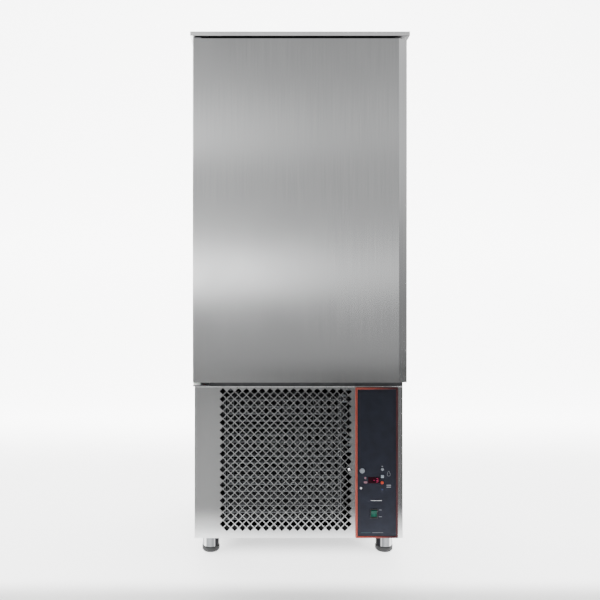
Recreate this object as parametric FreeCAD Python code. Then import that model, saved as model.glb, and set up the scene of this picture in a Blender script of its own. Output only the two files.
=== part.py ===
import FreeCAD, Part
import math
import os

V = FreeCAD.Vector

# Overall sizes, in millimetres. The origin is on the floor, under the middle of the cabinet.
BODY_WIDTH = 773.0
OVERALL_DEPTH = 800.0
FOOT_HEIGHT = 70.0
COMPARTMENT_HEIGHT = 564.0
DOOR_HEIGHT = 1237.0
DOOR_GAP_BELOW = 23.0
DOOR_GAP_ABOVE = 10.0
CAP_HEIGHT = 15.0
CAP_OVERHANG = 8.5

# Sheet metal and insulation
SHEET = 1.0
FOLD = 20.0
BASE_SHEET = 2.0
BASE_RIM = 40.0
SIDE_INSULATION = 58.5
END_INSULATION = 74.0
REAR_INSULATION = 60.0
FRONT_FRAME_THICKNESS = 2.0
REAR_RECESS = 20.0

# Door
DOOR_DEPTH = 65.0
GASKET_DEPTH = 12.0
GASKET_WIDTH = 22.0
GASKET_INSET = 6.0
GASKET_CLEARANCE = 0.3
DOOR_EDGE_RADIUS = 4.0
BEVEL_WIDTH = 31.0
BEVEL_DROP = 11.0
LIP_THICKNESS = 4.0
GRIP_DEPTH = 28.5
LIP_ROOT_DROP = 19.0

# Door hinge
HINGE_INSET = 14.5
HINGE_SETBACK = 22.0
HINGE_PIN_RADIUS = 6.0
HINGE_PLATE = 4.0
HINGE_PLATE_WIDTH = 55.0
HINGE_LEG = 3.0
HINGE_LEG_HEIGHT = 33.0
HINGE_BLOCK = 28.0
HINGE_BLOCK_HEIGHT = 24.0
HINGE_BLOCK_TRIM = 1.5
HINGE_PIN_GRIP = 20.0
HINGE_TOP_GAP = 3.0
HINGE_PLATE_INSET = 0.5
HINGE_PLATE_MARGIN = 2.0
BUSH_HEIGHT = 10.0
BUSH_RADIUS = 14.0
RUNNING_CLEARANCE = 0.05
SIDE_CLEARANCE = 0.3

# Perforated part of the lower front
HOLE_PITCH_X = 29.2
HOLE_PITCH_Z = 29.0
HOLE_DIAGONAL = 24.6
HOLES_LEFT_MARGIN = 105.0
HOLES_RIGHT_MARGIN = 20.0
HOLES_TOP_MARGIN = 19.0
HOLES_BOTTOM_MARGIN = 20.0

# Control fascia
FASCIA_WIDTH = 158.5
FASCIA_RIGHT_MARGIN = 17.5
FASCIA_TOP_MARGIN = 4.0
FASCIA_BOTTOM_MARGIN = 0.5
FASCIA_THICKNESS = 3.0
FRAME_WIDTH = 8.0
FRAME_RISE = 6.0
CONTROL_BOX_DEPTH = 90.0
CONTROL_BOX_MARGIN = 7.0
CONTROL_BOX_GAP = 4.0
KEY_TRAVEL = 1.0
KEY_RISE = 2.5
KEY_FLANGE = 2.0
KEY_FLANGE_WIDTH = 1.5
KEY_ROUNDING = 1.0
DISPLAY_WIDTH = 44.0
DISPLAY_HEIGHT = 23.0
LENS_THICKNESS = 1.2
# Keys by node name: distance right of the fascia's left edge, height above its bottom edge, radius
ROUND_KEYS = {
    "key_start": (24.9, 250.0, 9.5),
    "key_select": (100.3, 255.5, 5.0),
    "key_stop": (99.2, 206.0, 5.6),
}
SQUARE_KEY_PLACE = (99.9, 229.0)
SQUARE_KEY_SIZE = 10.5
DISPLAY_PLACE = (69.1, 215.0)
ROCKER_PLACE = (68.7, 91.0)
# Lamps, placed in the same way
DOT_LAMP_PLACE = (36.5, 223.5)
DOT_LAMP_RADIUS = 4.0
LOZENGE_LAMP_PLACE = (37.5, 207.5)
LOZENGE_LAMP_HALF_WIDTH = 6.6
LOZENGE_LAMP_HALF_HEIGHT = 4.0
SQUARE_LAMP_PLACE = (20.5, 186.0)
SQUARE_LAMP_SIZE = 7.0
LOWER_LAMP_PLACE = (99.2, 181.5)
LOWER_LAMP_RADIUS = 3.0
# Parts in the control box
BOARD_SETBACK = 10.0
BOARD_THICKNESS = 1.6
BOARD_BELOW_KEY = 90.0
BOARD_ABOVE_KEY = 40.0
BOARD_SIDE_GAP = 4.0
STANDOFF_RADIUS = 3.0
STANDOFF_INSET = 8.0
STANDOFF_MARGIN = 10.0
SWITCH_SIZE = 6.0
TRANSFORMER_WIDTH = 70.0
TRANSFORMER_DEPTH = 52.0
TRANSFORMER_HEIGHT = 60.0
TRANSFORMER_TOP_GAP = 50.0
TERMINALS_WIDTH = 120.0
TERMINALS_DEPTH = 20.0
TERMINALS_HEIGHT = 30.0
TERMINALS_BELOW_KEY = 20.0
TERMINAL_COUNT = 8
TERMINAL_PITCH = 14.0
TERMINAL_SLOT = 10.0
TERMINAL_SLOT_DEPTH = 8.0
TERMINAL_RIM = 4.0

# Rocker switch
ROCKER_WIDTH = 21.4
ROCKER_HALF_HEIGHT = 10.6
ROCKER_REACH = 8.4
ROCKER_DIP = 1.4
ROCKER_TIP_DEGREES = 6.0
ROCKER_PIN_RADIUS = 1.5
ROCKER_GAP = 0.4
BEZEL_WIDTH = 28.0
BEZEL_HEIGHT = 35.0
BEZEL_RISE = 2.0
SWITCH_DEPTH = 26.0
HOUSING_STEP = 0.3
ROCKER_PIN_GRIP = 0.8

# Feet
FOOT_TUBE_RADIUS = 31.0
FOOT_TUBE_WALL = 2.0
FOOT_END_RADIUS = 33.0
FOOT_END_HEIGHT = 22.0
FOOT_CHAMFER = 6.0
FOOT_STEM_RADIUS = 8.0
FOOT_SIDE_MARGIN = 56.5
FOOT_NUT_HEIGHT = 16.0
FOOT_FRONT_SETBACK = 69.0
FOOT_REAR_SETBACK = 69.0
STEM_RISE = 20.0

# Tray rack
LEVEL_PITCH = 70.0
FIRST_LEVEL = 50.0
RACK_SIDE_GAP = 1.0
RUNNER_WIDTH = 22.0
RUNNER_SHEET = 1.5
RUNNER_LEG = 15.0
UPRIGHT = 20.0
RACK_FRONT_SETBACK = 22.0
RACK_REAR_GAP = 22.0
UPRIGHT_FRONT_SETBACK = 40.0
UPRIGHT_REAR_SETBACK = 60.0

# Evaporator side of the chamber
COVER_SETBACK = 187.0
COVER_SHEET = 1.5
COVER_END_GAP = 30.0
EVAPORATOR_FAN_RADIUS = 145.0
EVAPORATOR_FAN_SPACING = 500.0
EVAPORATOR_SIDE_MARGIN = 86.0
EVAPORATOR_PITCH = 34.0
EVAPORATOR_FINS = 19
EVAPORATOR_RISE = 60.0
EVAPORATOR_TOP_MARGIN = 60.0
EVAPORATOR_BEND_REACH = 30.0
END_PLATE_OFFSET = 8.0
HANGER_INSET = 60.0
HANGER_HALF_HEIGHT = 20.0
EVAPORATOR_REAR_GAP = 6.0
LIQUID_RISER_OFFSET = 30.0
SUCTION_RISER_OFFSET = 60.0
GUARD_RISE = 10.0
GUARD_WIRE = 1.25
GUARD_BAR = 1.75
GUARD_RINGS = 5
GUARD_MARGIN = 4.0

# Condenser and compressor in the machine compartment
CONDENSER_LEFT_MARGIN = 96.5
CONDENSER_RIGHT_MARGIN = 34.5
CONDENSER_TOP_MARGIN = 50.0
CONDENSER_PITCH = 26.0
CONDENSER_FINS = 19
CONDENSER_FIRST_ROW = 64.0
CONDENSER_SETBACK = 27.0
CONDENSER_BEND_REACH = 24.0
CONDENSER_FAN_RADIUS = 170.0
FAN_IN_SHROUD = 6.0
COIL_DEPTH = 70.0
COIL_COLUMN_SPACING = 34.0
COIL_TUBE_RADIUS = 4.8
FIN_SHEET = 0.5
END_PLATE = 2.0
FAN_RING_GAP = 6.0
SHROUD_DEPTH = 50.0
MOTOR_RADIUS = 42.0
MOTOR_LENGTH = 50.0
MOTOR_GAP = 8.0
SHAFT_END_GAP = 1.0
HUB_NOSE = 5.0
FAN_BLADES = 5
BLADE_SHEET = 1.5
BLADE_PITCH_DEGREES = 62.0
BLADE_CHORD_RATIO = 0.55
BLADE_ROOT = 4.0
HUB_RADIUS = 34.0
HUB_DEPTH = 36.0
FAN_SETBACK = 24.0
BRACKET_SHEET = 2.0
BRACKET_HALF_HEIGHT = 15.0
BRACKET_MARGIN = 12.0
SHAFT_RADIUS = 5.0
COMPRESSOR_RADIUS = 115.0
COMPRESSOR_HEIGHT = 265.0
COMPRESSOR_SHEET = 4.0
COMPRESSOR_ROUNDING = 45.0
COMPRESSOR_X = 90.0
COMPRESSOR_FORWARD = 8.0
WELD_RISE = 4.0
WELD_HEIGHT = 8.0
WELD_DROP = 90.0
TERMINAL_COVER_WIDTH = 70.0
TERMINAL_COVER_HEIGHT = 70.0
TERMINAL_COVER_DROP = 110.0
TERMINAL_COVER_REACH = 22.0
COMPRESSOR_PLATE = 4.0
PLATE_LEFT = 130.0
PLATE_RIGHT = 110.0
PLATE_HALF_DEPTH = 100.0
MOUNT_INSET = 18.0
MOUNT_RADIUS = 14.0
RECEIVER_RADIUS = 55.0
RECEIVER_HEIGHT = 250.0
RECEIVER_ROUNDING = 20.0
RECEIVER_SIDE_MARGIN = 156.5
RECEIVER_Y = 60.0
RECEIVER_FOOT_INSET = 18.0
RECEIVER_FOOT_HEIGHT = 6.0
RECEIVER_PORT_OFFSET = 20.0
LINE_RADIUS = 4.8
SUCTION_RADIUS = 8.0
LINE_BEND = 15.0
SUCTION_BEND = 20.0
LINE_SIDE_GAP = 20.0
LINE_SPACING = 10.0
LIQUID_RUN_DROP = 30.0
SUCTION_RUN_DROP = 60.0
INLET_RUN_OFFSET = 76.0
DISCHARGE_PORT_OFFSET = 50.0
DISCHARGE_LEVEL = 0.368
DRAIN_RADIUS = 12.5
DRAIN_WALL = 2.0
DRAIN_SIDE_MARGIN = 76.0
DRAIN_REAR_MARGIN = 38.0
DRAIN_END = 45.0
MOUNT_HEIGHT = 40.0
DRIER_RADIUS = 22.0
DRIER_LENGTH = 110.0
DRIER_ROUNDING = 8.0
DRIER_DROP = 52.0

# Vents and posts of the machine compartment
VENT_LENGTH = 180.0
VENT_HEIGHT = 8.0
VENT_COLUMN_PITCH = 215.0
VENT_PITCH = 30.0
VENT_FIRST = 150.0
VENT_TOP_MARGIN = 70.0
POST_SIZE = 18.0

# Supply lead's inlet
GLAND_SIDE_MARGIN = 96.5
GLAND_Z = 140.0
GLAND_THREAD_RADIUS = 10.0
GLAND_BORE_RADIUS = 6.5
GLAND_NUT_RADIUS = 13.0
GLAND_REACH = 18.0
GLAND_ROUNDING = 4.0
GLAND_THREAD_LENGTH = 14.0
LOCK_NUT_HEIGHT = 5.0

# Planes and levels that follow from the sizes above
HALF_WIDTH = BODY_WIDTH / 2
FRONT = -OVERALL_DEPTH / 2
BACK = OVERALL_DEPTH / 2
DOOR_BACK = FRONT + DOOR_DEPTH
BODY_FRONT = DOOR_BACK + GASKET_DEPTH
COMPARTMENT_TOP = FOOT_HEIGHT + COMPARTMENT_HEIGHT
DOOR_BOTTOM = COMPARTMENT_TOP + DOOR_GAP_BELOW
DOOR_TOP = DOOR_BOTTOM + DOOR_HEIGHT
BODY_TOP = DOOR_TOP + DOOR_GAP_ABOVE
CAP_TOP = BODY_TOP + CAP_HEIGHT
BODY_BOTTOM = COMPARTMENT_TOP + SHEET
COMPARTMENT_BACK = BACK - REAR_RECESS
CHAMBER_HALF = HALF_WIDTH - SHEET - SIDE_INSULATION - SHEET
CHAMBER_FLOOR = BODY_BOTTOM + END_INSULATION + SHEET
CHAMBER_CEILING = BODY_TOP - END_INSULATION - SHEET
CHAMBER_BACK = BACK - SHEET - REAR_INSULATION - SHEET
LINER_FRONT = BODY_FRONT + FRONT_FRAME_THICKNESS
HINGE_X = -HALF_WIDTH + HINGE_INSET
HINGE_Y = FRONT + HINGE_SETBACK
GASKET_BACK = BODY_FRONT - GASKET_CLEARANCE
BEVEL_X = HALF_WIDTH - BEVEL_WIDTH
GRIP_X = HALF_WIDTH - GRIP_DEPTH
LIP_BACK = FRONT + BEVEL_DROP + LIP_THICKNESS
GRIP_FRONT = LIP_BACK + LIP_ROOT_DROP
FASCIA_RIGHT = HALF_WIDTH - FASCIA_RIGHT_MARGIN
FASCIA_LEFT = FASCIA_RIGHT - FASCIA_WIDTH
FASCIA_BOTTOM = FOOT_HEIGHT + FASCIA_BOTTOM_MARGIN
FASCIA_TOP = COMPARTMENT_TOP - FASCIA_TOP_MARGIN
FASCIA_FACE = BODY_FRONT - FASCIA_THICKNESS
CONTROL_BOX_LEFT = FASCIA_LEFT + CONTROL_BOX_MARGIN
CONTROL_BOX_RIGHT = FASCIA_RIGHT - CONTROL_BOX_MARGIN
CONTROL_BOX_BOTTOM = FOOT_HEIGHT + BASE_RIM + CONTROL_BOX_GAP + SHEET
CONTROL_BOX_TOP = FASCIA_TOP - FOLD
HOLES_FIRST_X = -HALF_WIDTH + HOLES_LEFT_MARGIN
HOLES_FIRST_Z = COMPARTMENT_TOP - HOLES_TOP_MARGIN
HOLE_COLUMNS = int((FASCIA_LEFT - HOLES_RIGHT_MARGIN - HOLES_FIRST_X) / HOLE_PITCH_X) + 1
HOLE_ROWS = int((COMPARTMENT_HEIGHT - HOLES_TOP_MARGIN - HOLES_BOTTOM_MARGIN) / HOLE_PITCH_Z)
ROCKER_X = FASCIA_LEFT + ROCKER_PLACE[0]
ROCKER_Y = FASCIA_FACE + ROCKER_REACH - ROCKER_DIP
ROCKER_Z = FASCIA_BOTTOM + ROCKER_PLACE[1]
ROCKER_RADIUS = math.hypot(ROCKER_REACH, ROCKER_HALF_HEIGHT)
BASE_FRONT = BODY_FRONT + FOLD + SHEET
BASE_FLOOR = FOOT_HEIGHT + BASE_SHEET
RUNNER_OUTER = CHAMBER_HALF - RACK_SIDE_GAP - UPRIGHT
COVER_Y = CHAMBER_BACK - COVER_SETBACK
RACK_FRONT = BODY_FRONT + RACK_FRONT_SETBACK
RACK_BACK = COVER_Y - RACK_REAR_GAP
TRAY_LEVELS = int((CHAMBER_CEILING - CHAMBER_FLOOR - FIRST_LEVEL) / LEVEL_PITCH)
COVER_BOTTOM = CHAMBER_FLOOR + COVER_END_GAP
COVER_TOP = CHAMBER_CEILING - COVER_END_GAP
EVAPORATOR_Y = CHAMBER_BACK - EVAPORATOR_REAR_GAP - COIL_DEPTH
EVAPORATOR_HALF_WIDTH = CHAMBER_HALF - EVAPORATOR_SIDE_MARGIN
EVAPORATOR_FIRST_ROW = CHAMBER_FLOOR + EVAPORATOR_RISE
EVAPORATOR_SPACE = CHAMBER_CEILING - EVAPORATOR_TOP_MARGIN - EVAPORATOR_FIRST_ROW
EVAPORATOR_ROWS = 2 * math.floor((EVAPORATOR_SPACE / EVAPORATOR_PITCH + 1) / 2)
EVAPORATOR_TOP_ROW = EVAPORATOR_FIRST_ROW + (EVAPORATOR_ROWS - 1) * EVAPORATOR_PITCH
COLUMN_FRONT_Y = EVAPORATOR_Y + (COIL_DEPTH - COIL_COLUMN_SPACING) / 2
COLUMN_BACK_Y = COLUMN_FRONT_Y + COIL_COLUMN_SPACING
LIQUID_RISER_X = EVAPORATOR_HALF_WIDTH + LIQUID_RISER_OFFSET
SUCTION_RISER_X = EVAPORATOR_HALF_WIDTH + SUCTION_RISER_OFFSET
FAN_Y = COVER_Y + COVER_SHEET + FAN_SETBACK
FAN_MIDDLE_Z = (COVER_BOTTOM + COVER_TOP) / 2
EVAPORATOR_FAN_CENTERS = [(0.0, FAN_Y, FAN_MIDDLE_Z + side * EVAPORATOR_FAN_SPACING / 2) for side in (-1, 1)]
CONDENSER_Y = BODY_FRONT + CONDENSER_SETBACK
CONDENSER_LEFT = -HALF_WIDTH + CONDENSER_LEFT_MARGIN
CONDENSER_RIGHT = FASCIA_LEFT - CONDENSER_RIGHT_MARGIN
CONDENSER_SPACE = COMPARTMENT_HEIGHT - CONDENSER_TOP_MARGIN - CONDENSER_FIRST_ROW
CONDENSER_ROWS = 2 * math.floor((CONDENSER_SPACE / CONDENSER_PITCH + 1) / 2)
CONDENSER_FAN_Y = CONDENSER_Y + COIL_DEPTH + SHROUD_DEPTH - FAN_IN_SHROUD
CONDENSER_MOTOR_BACK = CONDENSER_FAN_Y + HUB_DEPTH / 2 + MOTOR_GAP + MOTOR_LENGTH + BRACKET_SHEET
COMPRESSOR_Y = (CONDENSER_MOTOR_BACK + COMPARTMENT_BACK) / 2 - COMPRESSOR_FORWARD
RECEIVER_X = -HALF_WIDTH + RECEIVER_SIDE_MARGIN
DRAIN_X = -CHAMBER_HALF + DRAIN_SIDE_MARGIN
DRAIN_Y = CHAMBER_BACK - DRAIN_REAR_MARGIN
GLAND_X = HALF_WIDTH - GLAND_SIDE_MARGIN
VENT_ROWS = int((COMPARTMENT_HEIGHT - VENT_FIRST - VENT_TOP_MARGIN) / VENT_PITCH) + 1
FOOT_X = HALF_WIDTH - FOOT_SIDE_MARGIN
FOOT_PLACES = {
    "foot_front_left": (-FOOT_X, BODY_FRONT + FOOT_FRONT_SETBACK),
    "foot_front_right": (FOOT_X, BODY_FRONT + FOOT_FRONT_SETBACK),
    "foot_rear_left": (-FOOT_X, COMPARTMENT_BACK - FOOT_REAR_SETBACK),
    "foot_rear_right": (FOOT_X, COMPARTMENT_BACK - FOOT_REAR_SETBACK),
}


def block(x0, x1, y0, y1, z0, z1):
    return Part.makeBox(x1 - x0, y1 - y0, z1 - z0, V(x0, y0, z0))


def rod(radius, start, end):
    run = end.sub(start)
    return Part.makeCylinder(radius, run.Length, start, run)


def tube(outer, inner, start, end):
    return rod(outer, start, end).cut(rod(inner, start, end))


def prism(points, run):
    return Part.Face(Part.makePolygon(points + [points[0]])).extrude(run)


def bent_path(points, bend):
    """Straight runs joined by tangent arcs of one bend radius."""
    edges = []
    start = points[0]
    for before, corner, after in zip(points, points[1:], points[2:]):
        back = before.sub(corner).normalize()
        ahead = after.sub(corner).normalize()
        half_turn = (math.pi - back.getAngle(ahead)) / 2
        reach = bend * math.tan(half_turn)
        first = corner + back * reach
        last = corner + ahead * reach
        inward = (back + ahead).normalize()
        middle = corner + inward * (bend / math.cos(half_turn) - bend)
        if start.distanceToPoint(first) > 0.01:
            edges.append(Part.LineSegment(start, first).toShape())
        edges.append(Part.Arc(first, middle, last).toShape())
        start = last
    edges.append(Part.LineSegment(start, points[-1]).toShape())
    return Part.Wire(edges)


def pipe(points, radius, bend):
    section = Part.Wire(Part.makeCircle(radius, points[0], points[1].sub(points[0])))
    return bent_path(points, bend).makePipeShell([section], True, False)


def save(name, *shapes):
    shape = shapes[0] if len(shapes) == 1 else Part.Compound(list(shapes))
    shape.exportStep("parts/" + name + ".step")


# ---------------------------------------------------------------- cabinet sheet metal

def make_top_cap():
    """Shallow folded tray, open below, that overhangs the door."""
    half = HALF_WIDTH + CAP_OVERHANG
    outside = block(-half, half, FRONT, BACK, BODY_TOP, CAP_TOP)
    hollow = block(-half + SHEET, half - SHEET, FRONT + SHEET, BACK - SHEET,
                   BODY_TOP + SHEET, CAP_TOP - SHEET)
    mouth = block(-half + FOLD, half - FOLD, FRONT + FOLD, BACK - FOLD,
                  BODY_TOP - SHEET, BODY_TOP + SHEET)
    save("top_cap", outside.cut(hollow).cut(mouth))


def make_side_panel(name, side):
    """Outer side sheet with a fold along the top; it starts behind the lower front's own side folds."""
    outer = side * HALF_WIDTH
    inner = side * (HALF_WIDTH - SHEET)
    fold = side * (HALF_WIDTH - FOLD)
    x0, x1 = sorted((outer, inner))
    wall = block(x0, x1, LINER_FRONT, BACK, FOOT_HEIGHT, BODY_TOP)
    wall = wall.cut(block(x0, x1, LINER_FRONT, BODY_FRONT + FOLD, FOOT_HEIGHT, COMPARTMENT_TOP))
    f0, f1 = sorted((inner, fold))
    top_fold = block(f0, f1, LINER_FRONT, BACK - SHEET, BODY_TOP - SHEET, BODY_TOP)
    save(name, wall.fuse(top_fold))


def make_rear_panels():
    inner = HALF_WIDTH - SHEET
    save("rear_panel_upper", block(-inner, inner, BACK - SHEET, BACK, COMPARTMENT_TOP, BODY_TOP - SHEET))
    lower = block(-inner, inner, COMPARTMENT_BACK - SHEET, COMPARTMENT_BACK, FOOT_HEIGHT, COMPARTMENT_TOP)
    slots = []
    for column in (-1, 0, 1):
        for row in range(VENT_ROWS):
            x = column * VENT_COLUMN_PITCH
            z = FOOT_HEIGHT + VENT_FIRST + row * VENT_PITCH
            slots.append(block(x - VENT_LENGTH / 2, x + VENT_LENGTH / 2, COMPARTMENT_BACK - 2 * SHEET,
                               COMPARTMENT_BACK + SHEET, z, z + VENT_HEIGHT))
    gland_hole = rod(GLAND_THREAD_RADIUS, V(GLAND_X, COMPARTMENT_BACK - 2 * SHEET, GLAND_Z),
                     V(GLAND_X, COMPARTMENT_BACK + SHEET, GLAND_Z))
    save("rear_panel_lower", lower.cut(Part.Compound(slots)).cut(gland_hole))


def make_cable_gland():
    """Rear inlet for the supply lead: domed nut outside, lock nut inside, one clear bore."""
    outside = rod(GLAND_NUT_RADIUS, V(GLAND_X, COMPARTMENT_BACK, GLAND_Z),
                  V(GLAND_X, COMPARTMENT_BACK + GLAND_REACH, GLAND_Z))
    rim = [edge for edge in outside.Edges if edge.CenterOfMass.y > COMPARTMENT_BACK + GLAND_REACH - 0.1]
    outside = outside.makeFillet(GLAND_ROUNDING, rim)
    thread_end = COMPARTMENT_BACK - GLAND_THREAD_LENGTH
    thread = rod(GLAND_THREAD_RADIUS, V(GLAND_X, thread_end, GLAND_Z),
                 V(GLAND_X, COMPARTMENT_BACK, GLAND_Z))
    lock_nut = rod(GLAND_NUT_RADIUS, V(GLAND_X, COMPARTMENT_BACK - SHEET - LOCK_NUT_HEIGHT, GLAND_Z),
                   V(GLAND_X, COMPARTMENT_BACK - SHEET, GLAND_Z))
    bore = rod(GLAND_BORE_RADIUS, V(GLAND_X, thread_end - 1, GLAND_Z),
               V(GLAND_X, COMPARTMENT_BACK + GLAND_REACH + 1, GLAND_Z))
    save("cable_gland", outside.fuse([thread, lock_nut]).cut(bore))


def riser_holes(z0, z1):
    """Holes that the drain and the two refrigerant risers pass through."""
    drain = rod(DRAIN_RADIUS, V(DRAIN_X, DRAIN_Y, z0), V(DRAIN_X, DRAIN_Y, z1))
    liquid = rod(LINE_RADIUS, V(LIQUID_RISER_X, COLUMN_BACK_Y, z0), V(LIQUID_RISER_X, COLUMN_BACK_Y, z1))
    suction = rod(SUCTION_RADIUS, V(SUCTION_RISER_X, COLUMN_FRONT_Y, z0),
                  V(SUCTION_RISER_X, COLUMN_FRONT_Y, z1))
    return Part.Compound([drain, liquid, suction])


def make_deck_plate():
    inner = HALF_WIDTH - SHEET
    deck = block(-inner, inner, BODY_FRONT, BACK - SHEET, COMPARTMENT_TOP, BODY_BOTTOM)
    save("deck_plate", deck.cut(riser_holes(COMPARTMENT_TOP - 1, BODY_BOTTOM + 1)))


def make_base_frame():
    """Pressed base pan of the machine compartment, with an upturned rim."""
    inner = HALF_WIDTH - SHEET
    y0 = BASE_FRONT
    y1 = COMPARTMENT_BACK - SHEET
    pan = block(-inner, inner, y0, y1, FOOT_HEIGHT, FOOT_HEIGHT + BASE_RIM)
    hollow = block(-inner + BASE_SHEET, inner - BASE_SHEET, y0 + BASE_SHEET, y1 - BASE_SHEET,
                   FOOT_HEIGHT + BASE_SHEET, FOOT_HEIGHT + BASE_RIM + 1)
    pan = pan.cut(hollow)
    below, above = FOOT_HEIGHT - 1, BASE_FLOOR + 1
    holes = [rod(FOOT_STEM_RADIUS + SIDE_CLEARANCE, V(x, y, below), V(x, y, above))
             for x, y in FOOT_PLACES.values()]
    drain = rod(DRAIN_RADIUS, V(DRAIN_X, DRAIN_Y, below), V(DRAIN_X, DRAIN_Y, above))
    save("base_frame", pan.cut(Part.Compound(holes + [drain])))


def make_frame_posts():
    """Four angle posts between the base pan and the deck."""
    z0 = BASE_FLOOR
    x_out = HALF_WIDTH - SHEET - BASE_SHEET
    y_front = BASE_FRONT + BASE_SHEET
    y_back = COMPARTMENT_BACK - SHEET - BASE_SHEET
    posts = []
    for side in (-1, 1):
        for y_outer, inward in ((y_front, 1), (y_back, -1)):
            x_pair = sorted((side * x_out, side * (x_out - POST_SIZE)))
            y_pair = sorted((y_outer, y_outer + inward * POST_SIZE))
            x_void = sorted((side * (x_out - BASE_SHEET), side * (x_out - POST_SIZE - 1)))
            y_void = sorted((y_outer + inward * BASE_SHEET, y_outer + inward * (POST_SIZE + 1)))
            post = block(*x_pair, *y_pair, z0, COMPARTMENT_TOP)
            posts.append(post.cut(block(*x_void, *y_void, z0 - 1, COMPARTMENT_TOP + 1)))
    save("frame_posts", *posts)


# ---------------------------------------------------------------- insulated chamber

def make_chamber():
    inner = HALF_WIDTH - SHEET
    liner = CHAMBER_HALF + SHEET
    foam = block(-inner, inner, LINER_FRONT, BACK - SHEET, BODY_BOTTOM, BODY_TOP - SHEET)
    hollow = block(-liner, liner, LINER_FRONT, CHAMBER_BACK + SHEET, CHAMBER_FLOOR - SHEET,
                   CHAMBER_CEILING + SHEET)
    save("cabinet_foam", foam.cut(hollow).cut(riser_holes(BODY_BOTTOM - 1, CHAMBER_FLOOR)))

    walls = block(-liner, liner, LINER_FRONT, CHAMBER_BACK + SHEET, CHAMBER_FLOOR, CHAMBER_CEILING)
    space = block(-CHAMBER_HALF, CHAMBER_HALF, LINER_FRONT, CHAMBER_BACK, CHAMBER_FLOOR, CHAMBER_CEILING)
    ceiling = block(-liner, liner, LINER_FRONT, CHAMBER_BACK + SHEET,
                    CHAMBER_CEILING, CHAMBER_CEILING + SHEET)
    save("liner_walls", walls.cut(space).fuse(ceiling))
    floor = block(-liner, liner, LINER_FRONT, CHAMBER_BACK + SHEET, CHAMBER_FLOOR - SHEET, CHAMBER_FLOOR)
    save("liner_floor", floor.cut(riser_holes(CHAMBER_FLOOR - 2, CHAMBER_FLOOR + 1)))

    frame = block(-HALF_WIDTH, HALF_WIDTH, BODY_FRONT, LINER_FRONT, BODY_BOTTOM, BODY_TOP)
    mouth = block(-CHAMBER_HALF, CHAMBER_HALF, BODY_FRONT - 1, LINER_FRONT + 1,
                  CHAMBER_FLOOR, CHAMBER_CEILING)
    save("front_frame", frame.cut(mouth))


def make_drain_pipe():
    top = CHAMBER_FLOOR - SHEET
    save("drain_pipe", tube(DRAIN_RADIUS, DRAIN_RADIUS - DRAIN_WALL, V(DRAIN_X, DRAIN_Y, DRAIN_END),
                            V(DRAIN_X, DRAIN_Y, top)))


# ---------------------------------------------------------------- lower front and controls

def make_front_grille_panel():
    """Folded sheet across the lower front, with the diamond holes and the window behind the controls."""
    corners = [V(-HALF_WIDTH, BODY_FRONT, FOOT_HEIGHT), V(HALF_WIDTH, BODY_FRONT, FOOT_HEIGHT),
               V(HALF_WIDTH, BODY_FRONT, COMPARTMENT_TOP), V(-HALF_WIDTH, BODY_FRONT, COMPARTMENT_TOP)]
    wires = [Part.makePolygon(corners + [corners[0]])]
    x0, x1 = CONTROL_BOX_LEFT, CONTROL_BOX_RIGHT
    z0, z1 = CONTROL_BOX_BOTTOM, CONTROL_BOX_TOP
    window = [V(x0, BODY_FRONT, z0), V(x1, BODY_FRONT, z0), V(x1, BODY_FRONT, z1), V(x0, BODY_FRONT, z1)]
    wires.append(Part.makePolygon(window + [window[0]]))
    reach = HOLE_DIAGONAL / 2
    for half_row in range(2 * HOLE_ROWS):
        offset = half_row % 2
        for column in range(HOLE_COLUMNS - offset):
            x = HOLES_FIRST_X + (column + offset / 2) * HOLE_PITCH_X
            z = HOLES_FIRST_Z - half_row * HOLE_PITCH_Z / 2
            diamond = [V(x + reach, BODY_FRONT, z), V(x, BODY_FRONT, z + reach),
                       V(x - reach, BODY_FRONT, z), V(x, BODY_FRONT, z - reach)]
            wires.append(Part.makePolygon(diamond + [diamond[0]]))
    sheet = Part.makeFace(wires, "Part::FaceMakerBullseye").extrude(V(0, SHEET, 0))
    back = BODY_FRONT + SHEET
    rim = block(-HALF_WIDTH, HALF_WIDTH, back, BODY_FRONT + FOLD, FOOT_HEIGHT, COMPARTMENT_TOP)
    inside = block(-HALF_WIDTH + SHEET, HALF_WIDTH - SHEET, back, BODY_FRONT + FOLD,
                   FOOT_HEIGHT + SHEET, COMPARTMENT_TOP - SHEET)
    save("front_grille_panel", sheet.fuse(rim.cut(inside)))


def on_fascia(place):
    return FASCIA_LEFT + place[0], FASCIA_BOTTOM + place[1]


def key_solid(x, z, radius, grow):
    """Round key stem from its face to its flange; grow gives the matching hole."""
    return rod(radius + grow, V(x, FASCIA_FACE - KEY_RISE, z), V(x, BODY_FRONT + KEY_FLANGE, z))


def square_key_solid(x, z, grow):
    """Square key stem; grow gives the matching hole."""
    half = SQUARE_KEY_SIZE / 2 + grow
    return block(x - half, x + half, FASCIA_FACE - KEY_RISE, BODY_FRONT + KEY_FLANGE, z - half, z + half)


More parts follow.
